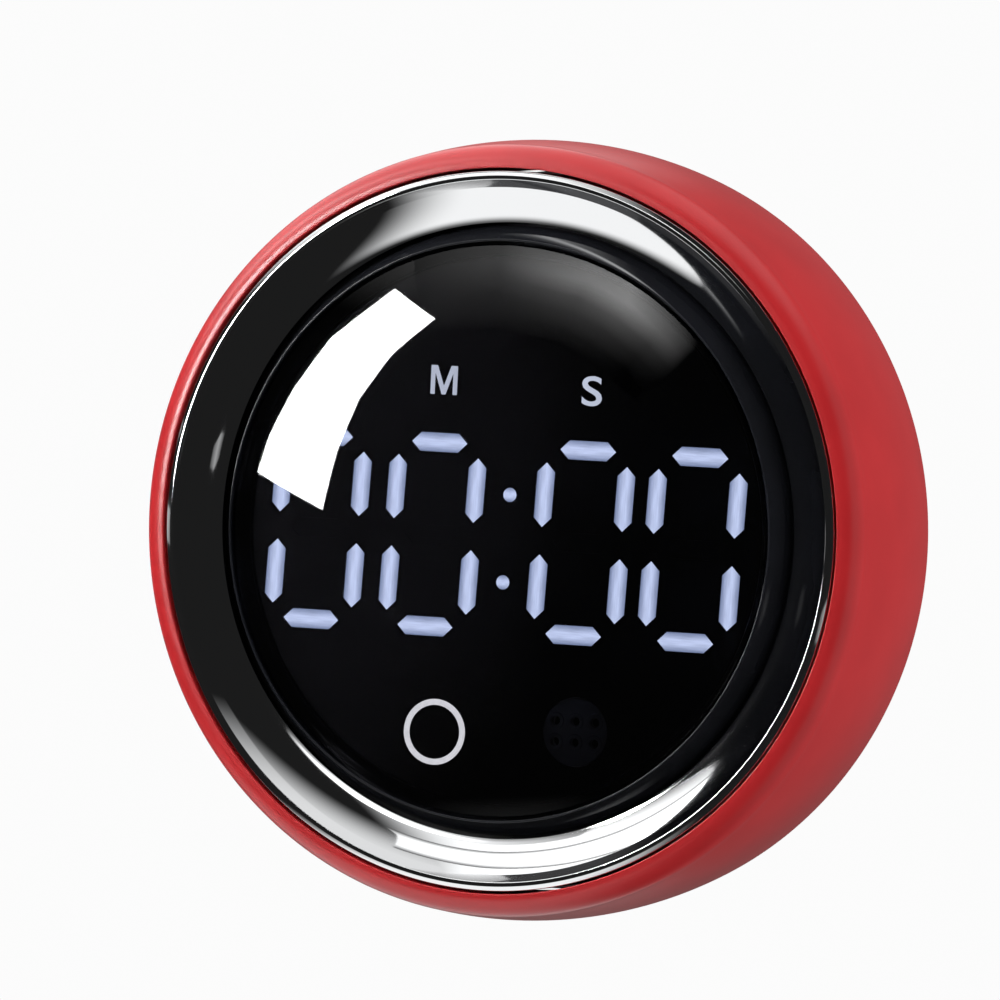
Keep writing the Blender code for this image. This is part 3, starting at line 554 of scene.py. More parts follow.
# Epoxy of chips and of the switch: dull grey-black with a fine sand texture.
epoxy = moulded("moulded epoxy", ("1B1B1C", "222223"), (0.55, 0.70), 0.12, 0.012, IOR=1.55)

# PVC of the wires: smooth, a little waxy.
wire_red = moulded("extruded red PVC", ("A81C1E", "B22224"), (0.32, 0.42), 0.5, 0.004, IOR=1.53)
wire_black = moulded("extruded black PVC", ("101011", "161617"), (0.32, 0.42), 0.5, 0.004, IOR=1.53)

# Nickel plating: warm grey, brushed dull by its tin bath. Steel: zinc plated, cooler.
nickel = metal("nickel plated steel", "B9B4AA", (0.18, 0.30), 0.5, 0.004)
steel = metal("zinc plated steel", "A9ADB2", (0.24, 0.40), 0.3, 0.006)


def smoked_acrylic():
    """Smoked acrylic, injection moulded and polished: a dark clear dome that only mirrors lamps."""
    material, tree, place = new_material("polished smoked acrylic")
    ripple = grained(tree, place, 12.0, 1.0, 0.0008)
    clear = add(tree, "ShaderNodeBsdfTransparent", {"Color": colour("B4B4B8")})
    gloss = {"Color": colour("FFFFFF"), "Roughness": 0.015, "Normal": ripple}
    gloss = add(tree, "ShaderNodeBsdfGlossy", gloss)
    share = add(tree, "ShaderNodeFresnel", {"IOR": 1.49, "Normal": ripple})
    both = {"Fac": share.outputs[0], 1: clear.outputs[0], 2: gloss.outputs[0]}
    end_material(tree, "ShaderNodeMixShader", both)
    return material


def coated_acrylic():
    """The lens's inner face: the same acrylic with a coat that takes its second reflection away."""
    material, tree, place = new_material("coated inner face of smoked acrylic")
    cloud = clouded(tree, place, 15.0, 2.0, "C8C8CC", "CACACE")
    end_material(tree, "ShaderNodeBsdfTransparent", {"Color": cloud})
    return material


def light_chip_glow(name, edge, core, strength):
    """Light through a milky sheet: brightest along the middle of a bar, bluer at its edges."""
    material, tree, place = new_material(name)
    bar = add(tree, "ShaderNodeUVMap", uv_map="bar").outputs[0]
    across = add(tree, "ShaderNodeSeparateXYZ", {"Vector": bar}).outputs["Y"]
    ramp = add(tree, "ShaderNodeValToRGB", {"Fac": across})
    shades = ramp.color_ramp.elements
    shades[0].position, shades[0].color = 0.0, colour(edge)
    shades[1].position, shades[1].color = 1.0, colour(edge)
    for position in (0.38, 0.62):
        shades.new(position).color = colour(core)
    streak = add(tree, "ShaderNodeMapping", {"Vector": bar, "Scale": (3.0, 9.0, 1.0)}).outputs[0]
    streaks = {"Vector": streak, "Scale": 1.0, "Detail": 3.0}
    streaks = add(tree, "ShaderNodeTexNoise", streaks).outputs["Fac"]
    dim = add(tree, "ShaderNodeMapRange", {"Value": streaks, "To Min": 0.6, "To Max": 1.25}).outputs[0]
    lit = add(tree, "ShaderNodeVectorMath", {0: ramp.outputs["Color"], 1: dim}, operation="MULTIPLY")
    glow = {"Base Color": colour("9AA4B4"), "Roughness": 0.5, "Emission Color": lit.outputs[0]}
    glow["Emission Strength"] = strength
    end_material(tree, "ShaderNodeBsdfPrincipled", glow)
    return material


def white_ink():
    """Screen-printed white ink, lit from behind: even, a little grainy at its edge."""
    material, tree, place = new_material("lit white screen print")
    grain = clouded(tree, place, 0.3, 4.0, "D2D2D0", "DEDEDC")
    glow = {"Base Color": colour("D8D8D6"), "Roughness": 0.6, "Emission Color": grain}
    glow["Emission Strength"] = 3.4
    end_material(tree, "ShaderNodeBsdfPrincipled", glow)
    return material


def circuit_board():
    """FR4 laminate under green solder resist, with copper tracks that lighten it."""
    material, tree, place = new_material("green solder resist on laminate")
    tracks = {"Vector": place, "Scale": per_mm(2.4), "Randomness": 0.35}
    tracks = add(tree, "ShaderNodeTexVoronoi", tracks, feature="DISTANCE_TO_EDGE").outputs[0]
    values = {"Value": tracks, "From Min": 0.03, "From Max": 0.06}
    mask = add(tree, "ShaderNodeMapRange", values).outputs[0]
    ramp = add(tree, "ShaderNodeValToRGB", {"Fac": mask})
    ramp.color_ramp.elements[0].color = colour("2E7A4A")
    ramp.color_ramp.elements[1].color = colour("155232")
    board = {"Base Color": ramp.outputs["Color"], "Roughness": 0.35, "IOR": 1.55}
    board["Normal"] = add(tree, "ShaderNodeBump", {"Height": mask, "Distance": 0.03 * MM}).outputs[0]
    end_material(tree, "ShaderNodeBsdfPrincipled", board)
    return material


def cell_sleeve():
    """Shrunk plastic sleeve of a dry cell: black print with a copper band by its raised pole."""
    material, tree, place = new_material("shrunk printed cell sleeve")
    along = add(tree, "ShaderNodeUVMap", uv_map="bar").outputs[0]
    along = add(tree, "ShaderNodeSeparateXYZ", {"Vector": along}).outputs["X"]
    ramp = add(tree, "ShaderNodeValToRGB", {"Fac": along})
    ramp.color_ramp.interpolation = "CONSTANT"
    bands = ramp.color_ramp.elements
    bands[0].position, bands[0].color = 0.0, colour("1A1B1D")
    bands[1].position, bands[1].color = 0.72, colour("D9D5CC")
    bands.new(0.74).color = colour("B4703A")
    sleeve = {"Base Color": ramp.outputs["Color"], "IOR": 1.5, "Coat Weight": 0.4}
    sleeve["Roughness"] = uneven(tree, place, 2.0, 3.0, 0.22, 0.34)
    sleeve["Normal"] = grained(tree, place, 4.0, 2.0, 0.02)
    end_material(tree, "ShaderNodeBsdfPrincipled", sleeve)
    return material


smoked = smoked_acrylic()
coated = coated_acrylic()
bar_glow = light_chip_glow("light chips behind milky sheet", "7885A2", "CAD7F2", 3.6)
letter_glow = light_chip_glow("light chips behind letters", "BAC2CE", "CCD4DF", 3.3)
ink = white_ink()
board_green = circuit_board()
sleeve = cell_sleeve()


# ---- turning ring


def crown_radius(height):
    return span("outer_ring")[1].x - (height - CROWN_HEIGHT) ** 2 / (2 * CROWN_CURVE)


def red_ring():
    low, high = span("outer_ring")
    back, rim = low.z, high.z
    shoulder = rim - SHOULDER
    centre = (crown_radius(shoulder) - SHOULDER, shoulder)
    corner = (crown_radius(back + HEEL_ROUND) - HEEL_ROUND, back + HEEL_ROUND)
    outline = arc((RING_BORE + FRONT_ROUND, rim - FRONT_ROUND), FRONT_ROUND, 180, 90, 5)
    outline += arc(centre, SHOULDER, 88, 0, 24)
    heights = [shoulder - (shoulder - corner[1]) * i / 24 for i in range(1, 24)]
    outline += [(crown_radius(height), height) for height in heights]
    outline += arc(corner, HEEL_ROUND, 0, -90, 6)
    bore = [(RING_BACK_BORE, back), (RING_BACK_BORE, BORE_STEP), (RING_BORE, BORE_STEP)]
    ring = turned("red_ring_shell", outline + bore, red_abs)
    mount(ring, "ring", "red_shell", "outer_ring")


def chrome_trim():
    low, high = span("chrome_ring")
    radius, foot, rim = high.x, low.z, high.z
    slope = math.radians(VALLEY_SLOPES[0])
    across, up = VALLEY_CURVE * math.sin(slope), VALLEY_CURVE * math.cos(slope)
    centre = (TRIM_BORE - across, VALLEY_HEIGHT + up)
    valley = arc(centre, VALLEY_CURVE, VALLEY_SLOPES[0] - 90, VALLEY_SLOPES[1] - 90, 24)
    under = arc(centre, VALLEY_CURVE + TRIM_WALL, *VALLEY_UNDER, 8)
    crest = [valley[-1], (LIP_INNER, rim, FRONT_ROUND), (LIP_OUTER, rim - LIP_SLOPE, LIP_ROUND)]
    crest += [(radius, rim - LIP_DROP, FRONT_ROUND), (radius, foot + 0.01)]
    wall = [(radius, foot), (radius - TRIM_WALL, foot), (radius - TRIM_WALL, TRIM_WALL_TOP)]
    outline = rounded(crest, 8)[1:-1] + wall + under + [(TRIM_BORE, VALLEY_HEIGHT - TRIM_WALL)] + valley
    trim = turned("chrome_trim_ring", outline, chrome)
    mount(trim, "ring", "chrome", "chrome_ring")


# ---- lens and display


def bezel():
    low, high = span("lens_bezel")
    radius, foot = high.x, low.z
    outline = rounded(
        [(*BEZEL_TOP, 0.08), (radius, BEZEL_SKIRT, 0.3), (radius, foot), (SEAT[0], foot)]
        + [SEAT, (BEZEL_BORE, SEAT[1]), (BEZEL_BORE, BEZEL_TOP[1], 0.05)]
    )
    mount(turned("gloss_black_bezel", outline, gloss_black), "base", "gloss_black", "lens_bezel")


def lens():
    high = span("front_lens")[1]
    radius, apex = high.x, high.z
    rise = apex - LENS_EDGE
    sphere = (radius**2 + rise**2) / (2 * rise)
    edge = radius - LENS_CHAMFER
    radii = [edge * i / 40 for i in range(41)]
    dome = [(r, apex - sphere + math.sqrt(sphere**2 - r**2)) for r in radii]
    under = [(r, height - LENS_WALL) for r, height in reversed(dome)]
    chamfer = [(radius, LENS_EDGE - LENS_CHAMFER), (radius, LENS_EDGE - LENS_WALL + 0.1)]
    outline = dome + chamfer + [(edge, under[0][1])] + under[1:]
    shell = turned("smoked_dome_lens", outline, smoked, closed=False)
    shell.data.materials.append(coated)
    for each in shell.data.polygons:
        each.material_index = int(each.normal.y > 0)
    mount(shell, "base", "smoked_lens", "front_lens")


def bar_outline(length, upright, grow=0.0):
    """A pointed bar about its middle, leaning as the digits do."""
    half, width = length / 2 + grow, BAR_WIDTH / 2 + grow
    shape = ((-half, 0), (width - half, -width), (half - width, -width))
    shape += ((half, 0), (half - width, width), (width - half, width))
    points = [(across, along) if upright else (along, across) for along, across in shape]
    return [(x + y * SLANT, y) for x, y in points]


def give_bar_map(piece, upright, half_length, half_width):
    """A map whose x runs along the bar and whose y runs across it, both from 0 to 1."""
    layer = piece.data.uv_layers.new(name="bar")
    for loop in piece.data.loops:
        place = piece.data.vertices[loop.vertex_index].co / MM
        along, across = (place.z, place.x) if upright else (place.x, place.z)
        if upright:
            across -= along * SLANT
        layer.data[loop.index].uv = (along / half_length / 2 + 0.5, across / half_width / 2 + 0.5)


def bar_places(lit):
    """Middles of the flat bars and of the upright bars of a clock that shows 00:00."""
    flat, upright = [], []
    for digit in DIGIT_CENTRES:
        for y in (-DIGIT_HALF[1], DIGIT_HALF[1]) if lit else (0,):
            flat.append((digit + y * SLANT, y + DISPLAY_Y))
        for x in (-DIGIT_HALF[0], DIGIT_HALF[0]):
            for y in (-UPRIGHT_CENTRE, UPRIGHT_CENTRE):
                upright.append((digit + x + y * SLANT, y + DISPLAY_Y))
    return flat, upright


def bars(name, places, upright, low, high, finish, grow=0.0):
    length = UPRIGHT_LENGTH if upright else BAR_LENGTH
    pattern = extruded("bar pattern", [bar_outline(length, upright, grow)], low, high)
    give_bar_map(pattern, upright, length / 2, BAR_WIDTH / 2)
    return set_out(name, pattern, [(x, y, 0) for x, y in places], finish)


def letter(name, text, width, height, centre, low, high, finish):
    """A plain capital of the display, drawn to its real size."""
    if text == "M":
        piece = extruded(name, [CAPITAL_M], low, high)
        mesh = piece.data
        mesh.transform(Matrix.Rotation(-math.pi / 2, 4, "X"))
    else:
        curve = bpy.data.curves.new(name, "FONT")
        curve.body = text
        curve.extrude = 0.5
        curve.offset = 0.012
        curve.resolution_u = 6
        drawn = link(name, curve)
        bpy.context.view_layer.update()
        graph = bpy.context.evaluated_depsgraph_get()
        mesh = bpy.data.meshes.new_from_object(drawn.evaluated_get(graph))
        remove(drawn)
        piece = link(name, mesh)
    lowest = [min(v.co[i] for v in mesh.vertices) for i in range(3)]
    highest = [max(v.co[i] for v in mesh.vertices) for i in range(3)]
    sizes = (width, height, high - low)
    mids = (*centre, (low + high) / 2)
    for vertex in mesh.vertices:
        shares = [(vertex.co[i] - lowest[i]) / (highest[i] - lowest[i]) - 0.5 for i in range(3)]
        vertex.co = face(*[mids[i] + shares[i] * sizes[i] for i in range(3)])
    mesh.materials.clear()
    mesh.materials.append(finish)
    clean(piece)
    give_bar_map(piece, True, LETTER_MAP, LETTER_MAP)
    return piece


def display():
    low, high = span("display_mask")
    sheet, top = high.x, high.z
    light = (low.z, top - WINDOW_SINK)
    grille_place = middle("sound_grille")
    seat = circle(span("sound_grille")[1].x - grille_place.x + 0.1, SMALL_STEPS, grille_place[:2])
    mask = extruded("printed_display_mask", [circle(sheet, TURN_STEPS), seat], low.z, top, film)
    lit_flat, upright = bar_places(True)
    unlit_flat, _ = bar_places(False)
    cut = (low.z - 0.5, top + 0.5)
    combine(mask, bars("cut", lit_flat + unlit_flat, False, *cut, None, WINDOW_GAP))
    combine(mask, bars("cut", upright, True, *cut, None, WINDOW_GAP))
    dots = [(COLON_X + y * SLANT, y + DISPLAY_Y, 0) for y in (-COLON_Y, COLON_Y)]
    for letter_name, text, width, height, centre in LETTERS:
        combine(mask, letter("cut", text, width, height, centre, *cut, film))
        glow = letter(letter_name, text, width, height, centre, *light, letter_glow)
        mount(glow, "base", "display_light")
    dot = extruded("dot", [circle(COLON_RADIUS + WINDOW_GAP, SMALL_STEPS)], *cut)
    combine(mask, set_out("cut", dot, dots, None))
    mount(mask, "base", "display_film", "display_mask")
    mount(bars("lit_flat_bars", lit_flat, False, *light, bar_glow), "base", "display_light")
    mount(bars("lit_upright_bars", upright, True, *light, bar_glow), "base", "display_light")
    # The unlit middle bars are sheets in the tinted film colour with the unlit cavity's shade painted in.
    mount(bars("unlit_middle_bars", unlit_flat, False, *light, unlit_window_painted_shade), "base", "display_film")
    dot = extruded("dot", [circle(COLON_RADIUS, SMALL_STEPS)], *light)
    give_bar_map(dot, False, COLON_RADIUS, COLON_RADIUS)
    mount(set_out("lit_colon_dots", dot, dots, bar_glow), "base", "display_light")
    touch = middle("touch_spring")[:2]
    radii = (TOUCH_RADIUS, TOUCH_RADIUS - TOUCH_STROKE)
    strokes = [circle(radius, SMALL_STEPS, touch) for radius in radii]
    mark = extruded("touch_ring_mark", strokes, top, top + INK_HEIGHT, ink)
    mount(mark, "base", "display_light")


def grille():
    low, high = span("sound_grille")
    centre = middle("sound_grille")
    radius = high.x - centre.x
    top = high.z
    disc = extruded("grille", [circle(radius, SMALL_STEPS)], low.z, top - 0.05, grille_grey)
    places = [(x * HOLE_PITCH, y * HOLE_PITCH, 0) for y in (-0.5, 0.5) for x in (-1, 0, 1)]
    collar = [(across, top + up) for across, up in COLLAR]
    collar = turned("collar", collar, grille_grey, 32)
    combine(disc, set_out("collars", collar, places, grille_grey), "UNION")
    hole = rod("hole", HOLE_RADIUS, low.z - 1, top + 1, 32)
    combine(disc, set_out("holes", hole, places, None))
    disc = set_out("sound_grille_disc", disc, [(centre.x, centre.y, 0)], grille_grey)
    mount(disc, "base", "black_abs", "sound_grille")


# ---- housing and back


def housing():
    low, high = span("base_housing")
    foot, deck = low.z, high.z
    outline = [(0, deck), (DRUM_RADIUS, deck), (DRUM_RADIUS, DRUM_FOOT)]
    skirt = [FLANGE_EDGE, (FOOT_RADIUS, foot, 0.1), (HOUSING_BORE, foot), (HOUSING_BORE, BAY_CEILING)]
    outline += rounded(skirt) + [(0, BAY_CEILING)]
    shell = turned("rear_housing", outline, matt_black, closed=False)
    outer = (BAY_HALF[0] + BAY_WALL, BAY_HALF[1] + BAY_WALL)
    walls = [rounded_rectangle(outer, 1.5), rounded_rectangle(BAY_HALF, 0.6)]
    combine(shell, extruded("walls", walls, foot, BAY_WALL_TOP, matt_black), "UNION")
    rib = extruded("rib", [rounded_rectangle(RIB_HALF, 0.3)], *RIB_HEIGHTS)
    rows = [middle(f"battery_{number}").y for number in (1, 2, 3)]
    places = [(0, (first + second) / 2, 0) for first, second in zip(rows, rows[1:])]
    combine(shell, set_out("ribs", rib, places, matt_black), "UNION")
    shaft = circle(SHAFT_HOLE, 32, middle("encoder_shaft")[:2])
    combine(shell, extruded("shaft_hole", [shaft], BAY_CEILING - 0.75, deck + 1))
    mount(shell, "base", "black_abs", "base_housing")


def back_places(kind, count):
    """Middles of a piece that repeats on the back."""
    middles = [middle(f"{kind}_{number}") for number in range(1, count + 1)]
    return [(place.x, place.y, 0) for place in middles]


def back():
    high = span("back_cover")[1]
    radius, top = high.x, high.z
    outline = [(0, top)] + rounded([(radius, top), (radius, *COVER_EDGE), *COVER_FLAT])
    outline += [*COVER_GROOVE, (0, 0)]
    cover = turned("flat_back_cover", outline, matt_black, closed=False)
    door_half = (DOOR_X + DOOR_GAP, DOOR_TOP + DOOR_GAP)
    combine(cover, extruded("opening", [rounded_rectangle(door_half, 0.6)], -1, top + 1))
    knob = middle("volume_knob")
    slot_half = (KNOB_HALF + SWITCH_TRAVEL + SLOT_GAP, SLOT_HALF)
    combine(cover, extruded("slot", [rounded_rectangle(slot_half, 0.3, knob[:2])], -1, top + 1))
    dish = rounded_rectangle((slot_half[0] + 1.4, slot_half[1] + 1.0), 1.6, knob[:2])
    combine(cover, extruded("dish", [dish], -1, 0.45))
    pocket = rod("pocket", POCKET_RADIUS, -1, POCKET_DEPTH)
    combine(cover, set_out("pockets", pocket, back_places("magnet", 4), None))
    reach = DOOR_X + HINGE_REACH
    hole = rod("hinge_hole", HINGE_HOLE, -reach, reach, 24)
    hinge = (0, DOOR_TOP - DOOR_THICKNESS / 2, DOOR_THICKNESS / 2)
    combine(cover, set_out("hinge_holes", hole, [hinge], None, [(0, 0, math.pi / 2)]))
    screws = back_places("back_screw", 4)
    sink = [(0, -1), (SCREW_SINK[0], -1), SCREW_SINK, (SCREW_HOLE, SCREW_SINK[1])]
    sink += [(SCREW_HOLE, top + 1), (0, top + 1)]
    combine(cover, set_out("sinks", turned("sink", sink, None, 32, False), screws, None))
    for across, size in VOLUME_DOTS:
        place = (knob.x + across, knob.y + DOTS_ABOVE)
        combine(cover, extruded("mark", [circle(size, 24, place)], -1, 0.3))
    mount(cover, "base", "black_abs", "back_cover")


def door():
    """The door: rounded about its hinge, with pins, a latch tongue and sunk finger grooves."""
    low, high = span("battery_door")
    bottom = low.y
    hinge = (DOOR_TOP - DOOR_THICKNESS / 2, DOOR_THICKNESS / 2)
    side = [(bottom + DOOR_EDGE, 0), (bottom, DOOR_EDGE), (bottom, DOOR_THICKNESS)]
    side += arc(hinge, DOOR_THICKNESS / 2, 90, -90, 16)
    mesh = bmesh.new()
    ends = []
    for x in (-DOOR_X, DOOR_X):
        ends.append([mesh.verts.new(face(x, y, height)) for y, height in side])
    mesh.faces.new(ends[0])
    mesh.faces.new(ends[1])
    for i in range(len(side)):
        mesh.faces.new((ends[0][i - 1], ends[0][i], ends[1][i], ends[1][i - 1]))
    data = bpy.data.meshes.new("door")
    mesh.to_mesh(data)
    mesh.free()
    data.materials.append(matt_black)
    panel = soften(clean(link("battery_door_panel", data)), 0.12)
    pin = rod("pin", PIN_RADIUS, -DOOR_X - PIN_REACH, DOOR_X + PIN_REACH, 24)
    pin = set_out("pins", pin, [(0, *hinge)], matt_black, [(0, 0, math.pi / 2)])
    combine(panel, pin, "UNION")
    tongue = [(-4, bottom + 0.4), (4, bottom + 0.4), (4, bottom + 1.0), (-4, bottom + 1.0)]
    combine(panel, extruded("tongue", [tongue], 1.3, high.z, matt_black), "UNION")
    groove = extruded("groove", [rounded_rectangle((6.0, 0.35), 0.34)], -1, 0.3)
    places = [(0, bottom + 2.2 + GROOVE_PITCH * i, 0) for i in range(5)]
    combine(panel, set_out("grooves", groove, places, None))
    mount(panel, "battery_door", "black_abs", "battery_door")


def magnets():
    low, high = span("magnet_1")
    radius = (high.x - low.x) / 2
    outline = rounded([(0, high.z), (radius, high.z, 0.2), (radius, low.z, 0.25), (0, low.z)])
    disc = turned("disc", outline, nickel, SMALL_STEPS, False)
    discs = set_out("disc_magnets", disc, back_places("magnet", 4), nickel)
    mount(discs, "base", "nickel", *[f"magnet_{number}" for number in range(1, 5)])


def back_screws():
    low, high = span("back_screw_1")
    radius = (high.x - low.x) / 2
    head = rounded([(0, low.z), (radius, low.z, 0.35), (radius, low.z + 1.0), (0.8, low.z + 1.0)])[1:]
    screw = turned("screw", [(0, low.z)] + head + [(0.8, high.z - 0.6), (0, high.z)], steel, 48, False)
    quarter = [(0.2, 1.1), (0.2, 0.2), (1.1, 0.2)]
    outline = []
    for turn in range(4):
        for x, y in quarter:
            for _ in range(turn):
                x, y = y, -x
            outline.append((x, y))
    combine(screw, extruded("cross", [outline], low.z - 1, low.z + 0.65))
    screws = set_out("cross_head_screws", screw, back_places("back_screw", 4), steel)
    mount(screws, "base", "steel", *[f"back_screw_{number}" for number in range(1, 5)])


def knob():
    low, high = span("volume_knob")
    centre = middle("volume_knob")
    half = ((high.x - low.x) / 2, (high.y - low.y) / 2)
    block = [rounded_rectangle(half, 0.25, centre[:2])]
    slider = soften(extruded("slide_switch_knob", block, low.z, high.z, matt_black), 0.08)
    ridge = extruded("ridge", [rounded_rectangle((0.12, half[1] + 1), 0.05)], low.z - 1, low.z + 0.2)
    places = [(centre.x + 0.5 * i, centre.y, 0) for i in (-2, -1, 0, 1, 2)]
    combine(slider, set_out("ridges", ridge, places, None))
    mount(slider, "volume_slider", "black_abs", "volume_knob")


# ---- cells


def cells():
    radius = middle("battery_1").z - span("battery_1")[0].z
    poles = [tuple(middle(f"battery_{number}")) for number in (1, 2, 3)]
    turns = [(0, 0, math.pi / 2 * side) for side in (1, -1, 1)]
    half = (span("battery_1")[1].x - span("battery_1")[0].x) / 2
    shoulder = half - POLE_HEIGHT
    can = [(0, half), (POLE_RADIUS, half, 0.3), (POLE_RADIUS, shoulder), (radius - 0.5, shoulder, 0.4)]
    can += [(radius - 0.12, half - 1.6), (radius - 0.12, 0.3 - half), (radius - 0.6, -half, 0.2), (0, -half)]
    can = turned("can", rounded(can), nickel, SMALL_STEPS, False)
    cans = set_out("dry_cell_cans", can, poles, nickel, turns)
    mount(cans, "base", "nickel")
    skin = [(radius - 0.9, half - 0.88), (radius - 0.5, half - 0.85), (radius, half - 1.4, 0.3)]
    skin += [(radius, 0.4 - half, 0.3), (radius - 0.7, 0.1 - half), (radius - 0.7, 0.4 - half)]
    skin += [(radius - 0.3, 0.9 - half), (radius - 0.3, half - 1.5)]
    wrap = turned("wrap", rounded(skin), sleeve, SMALL_STEPS)
    layer = wrap.data.uv_layers.new(name="bar")
    for loop in wrap.data.loops:
        place = wrap.data.vertices[loop.vertex_index].co / MM
        around = math.atan2(place.z, place.x) / 2 / math.pi
        layer.data[loop.index].uv = (-place.y / half / 2 + 0.5, around)
    wraps = set_out("dry_cell_sleeves", wrap, poles, sleeve, turns)
    mount(wraps, "base", "battery_sleeve", "battery_1", "battery_2", "battery_3")


def springs():
    for number, side in ((1, -1), (2, 1), (3, -1)):
        node = f"contact_spring_{number}"
        low, high = span(node)
        sizes = {"Start": SPRING_RADII[0] * MM, "End": SPRING_RADII[1] * MM, "Turns": SPRING_TURNS}
        sizes |= {"Height": (high.x - low.x - 2 * SPRING_WIRE) * MM}
        sizes |= {"Wire": SPRING_WIRE * MM, "Finish": nickel}
        coil = grown(f"coil_{number}", COIL, bpy.data.meshes.new("coil"), sizes)
        centre = middle(node)
        start = low.x + SPRING_WIRE if side > 0 else high.x - SPRING_WIRE
        turn = Matrix.Rotation(side * math.pi / 2, 4, "Y")
        coil.data.transform(Matrix.Translation(face(start, centre.y, centre.z)) @ turn)
        mount(coil, "base", "nickel", node)


# ---- carried-over nodes

SCREWS = [f"core_screw_{n}" for n in range(1, 5)] + [f"display_screw_{n}" for n in range(1, 4)]
CONTACTS = ("negative_contact", "positive_contact", "left_bridge_contact", "right_bridge_contact")
CARRIED = {
    acetal: ("ring_gear", "ring_bearing", "thrust_washer", "encoder_pinion"),
    matt_black: ("core_frame", "buzzer"),
    reflector: ("reflector_block",),
    milky: ("diffuser_sheet",),
    board_green: ("main_board",),
    epoxy: ("mcu_chip", "encoder_body", "volume_switch_body"),
    steel: ("encoder_shaft", *SCREWS),
    nickel: (*CONTACTS, "touch_spring"),
    wire_red: ("positive_wire",),
    wire_black: ("negative_wire",),
}


def finish_nodes():
    for material, names in CARRIED.items():
        for name in names:
            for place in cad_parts[name].material_slots:
                place.material = material


# ---- stage, light and camera


def direction(azimuth, elevation):
    """The way from the timer to a lamp: azimuth 0 is straight out of the face, 90 to the right."""
    a, e = math.radians(azimuth), math.radians(elevation)
    return Vector((math.sin(a) * math.cos(e), -math.cos(a) * math.cos(e), math.sin(e)))


def panel(name, rows, distance, strength, mirrored=True):
    """A soft lamp, never seen itself. Each row runs across it as (azimuth, elevation, share of light)."""
    material, tree, place = new_material(name)
    share = add(tree, "ShaderNodeAttribute", attribute_name="share").outputs["Fac"]
    lamp = add(tree, "ShaderNodeMath", {0: share, 1: strength}, operation="MULTIPLY")
    end_material(tree, "ShaderNodeEmission", {"Strength": lamp.outputs[0]})

    def between(values):
        """The values of a row, with finer steps put between them."""
        steps = [(i, step / LAMP_STEPS) for i in range(len(values) - 1) for step in range(LAMP_STEPS)]
        return [values[i].lerp(values[i + 1], part) for i, part in steps] + [values[-1]]

    coarse = [between([Vector(value) for value in row]) for row in rows]
    grid = list(zip(*[between(column) for column in zip(*coarse)]))
    wide = len(grid[0])
    points = [direction(*value[:2]) * distance for row in grid for value in row]
    count = wide * (len(grid) - 1)
    faces = [(i, i + 1, i + wide + 1, i + wide) for i in range(count) if i % wide < wide - 1]
    mesh = bpy.data.meshes.new(name)
    mesh.from_pydata(points, [], faces)
    shares = [value[2] for row in grid for value in row]
    mesh.attributes.new("share", "FLOAT", "POINT").data.foreach_set("value", shares)
    mesh.materials.append(material)
    lamp = link(name, mesh)
    lamp.visible_camera = False
    lamp.visible_glossy = mirrored


def studio():
    """White below, above and behind, dark in front: the plain surroundings that the chrome mirrors."""
    world = bpy.data.worlds.new("studio")
    bpy.context.scene.world = world
    world.use_nodes = True
    tree = world.node_tree
    tree.nodes.clear()
    way = add(tree, "ShaderNodeTexCoord").outputs["Generated"]
    way = add(tree, "ShaderNodeSeparateXYZ", {"Vector": way}).outputs

    lights = []
    for axis, low, high, light in SKY:
        values = {"Value": way[axis], "From Min": low, "From Max": high, "To Min": 0.0, "To Max": light}
        smooth = add(tree, "ShaderNodeMapRange", values, interpolation_type="SMOOTHSTEP")
        lights.append(smooth.outputs[0])
    above, above_left, below, below_left, zenith, behind = lights
    above = add(tree, "ShaderNodeMath", {0: above, 1: above_left}, operation="MULTIPLY").outputs[0]
    below = add(tree, "ShaderNodeMath", {0: below, 1: below_left}, operation="MULTIPLY").outputs[0]
    level = SKY_BASE
    for light in (above, below, zenith, behind):
        level = add(tree, "ShaderNodeMath", {0: level, 1: light}, operation="MAXIMUM").outputs[0]
    seen = add(tree, "ShaderNodeLightPath").outputs["Is Camera Ray"]
    both = {"Value": seen, "To Min": level, "To Max": SKY_SEEN}
    both = add(tree, "ShaderNodeMapRange", both)
    sky = add(tree, "ShaderNodeBackground", {"Color": colour("FFFFFF"), "Strength": both.outputs[0]})
    add(tree, "ShaderNodeOutputWorld", {"Surface": sky.outputs[0]})


def floor():
    """A plain pale floor, far enough below the timer to stay out of the first view."""
    material = moulded("matt pale floor", ("F3F3F3", "F4F4F4"), (0.85, 0.9), 20.0, 0.0005)
    mesh = bmesh.new()
    bmesh.ops.create_circle(mesh, cap_ends=True, segments=96, radius=FLOOR_RADIUS)
    bmesh.ops.translate(mesh, verts=mesh.verts, vec=(0, 0, -FLOOR_DROP))
    data = bpy.data.meshes.new("floor")
    mesh.to_mesh(data)
    mesh.free()
    data.materials.append(material)
    ground = link("floor", data)
    ground.visible_glossy = False
    ground.visible_diffuse = False


def camera():
    """A long lens to the right of the face and a little above it, with the horizon tipped."""
    back = direction(CAMERA_AZIMUTH, CAMERA_ELEVATION)
    right = Vector((0, 0, 1)).cross(back).normalized()
    up = back.cross(right)
    along, over = math.cos(CAMERA_TIP), math.sin(CAMERA_TIP)
    right, up = right * along + up * over, up * along - right * over
    aim = face(0, 0, span("chrome_ring")[1].z) + right * CAMERA_AIM[0] * MM + up * CAMERA_AIM[1] * MM
    data = bpy.data.cameras.new("camera")
    data.lens = CAMERA_LENS
    data.sensor_width = 36
    data.clip_start = 0.05
    data.clip_end = 10
    made = link("camera", data)
    turn = Matrix((right, up, back)).transposed().to_4x4()
    made.matrix_world = Matrix.Translation(aim + back * CAMERA_DISTANCE) @ turn
    bpy.context.scene.camera = made


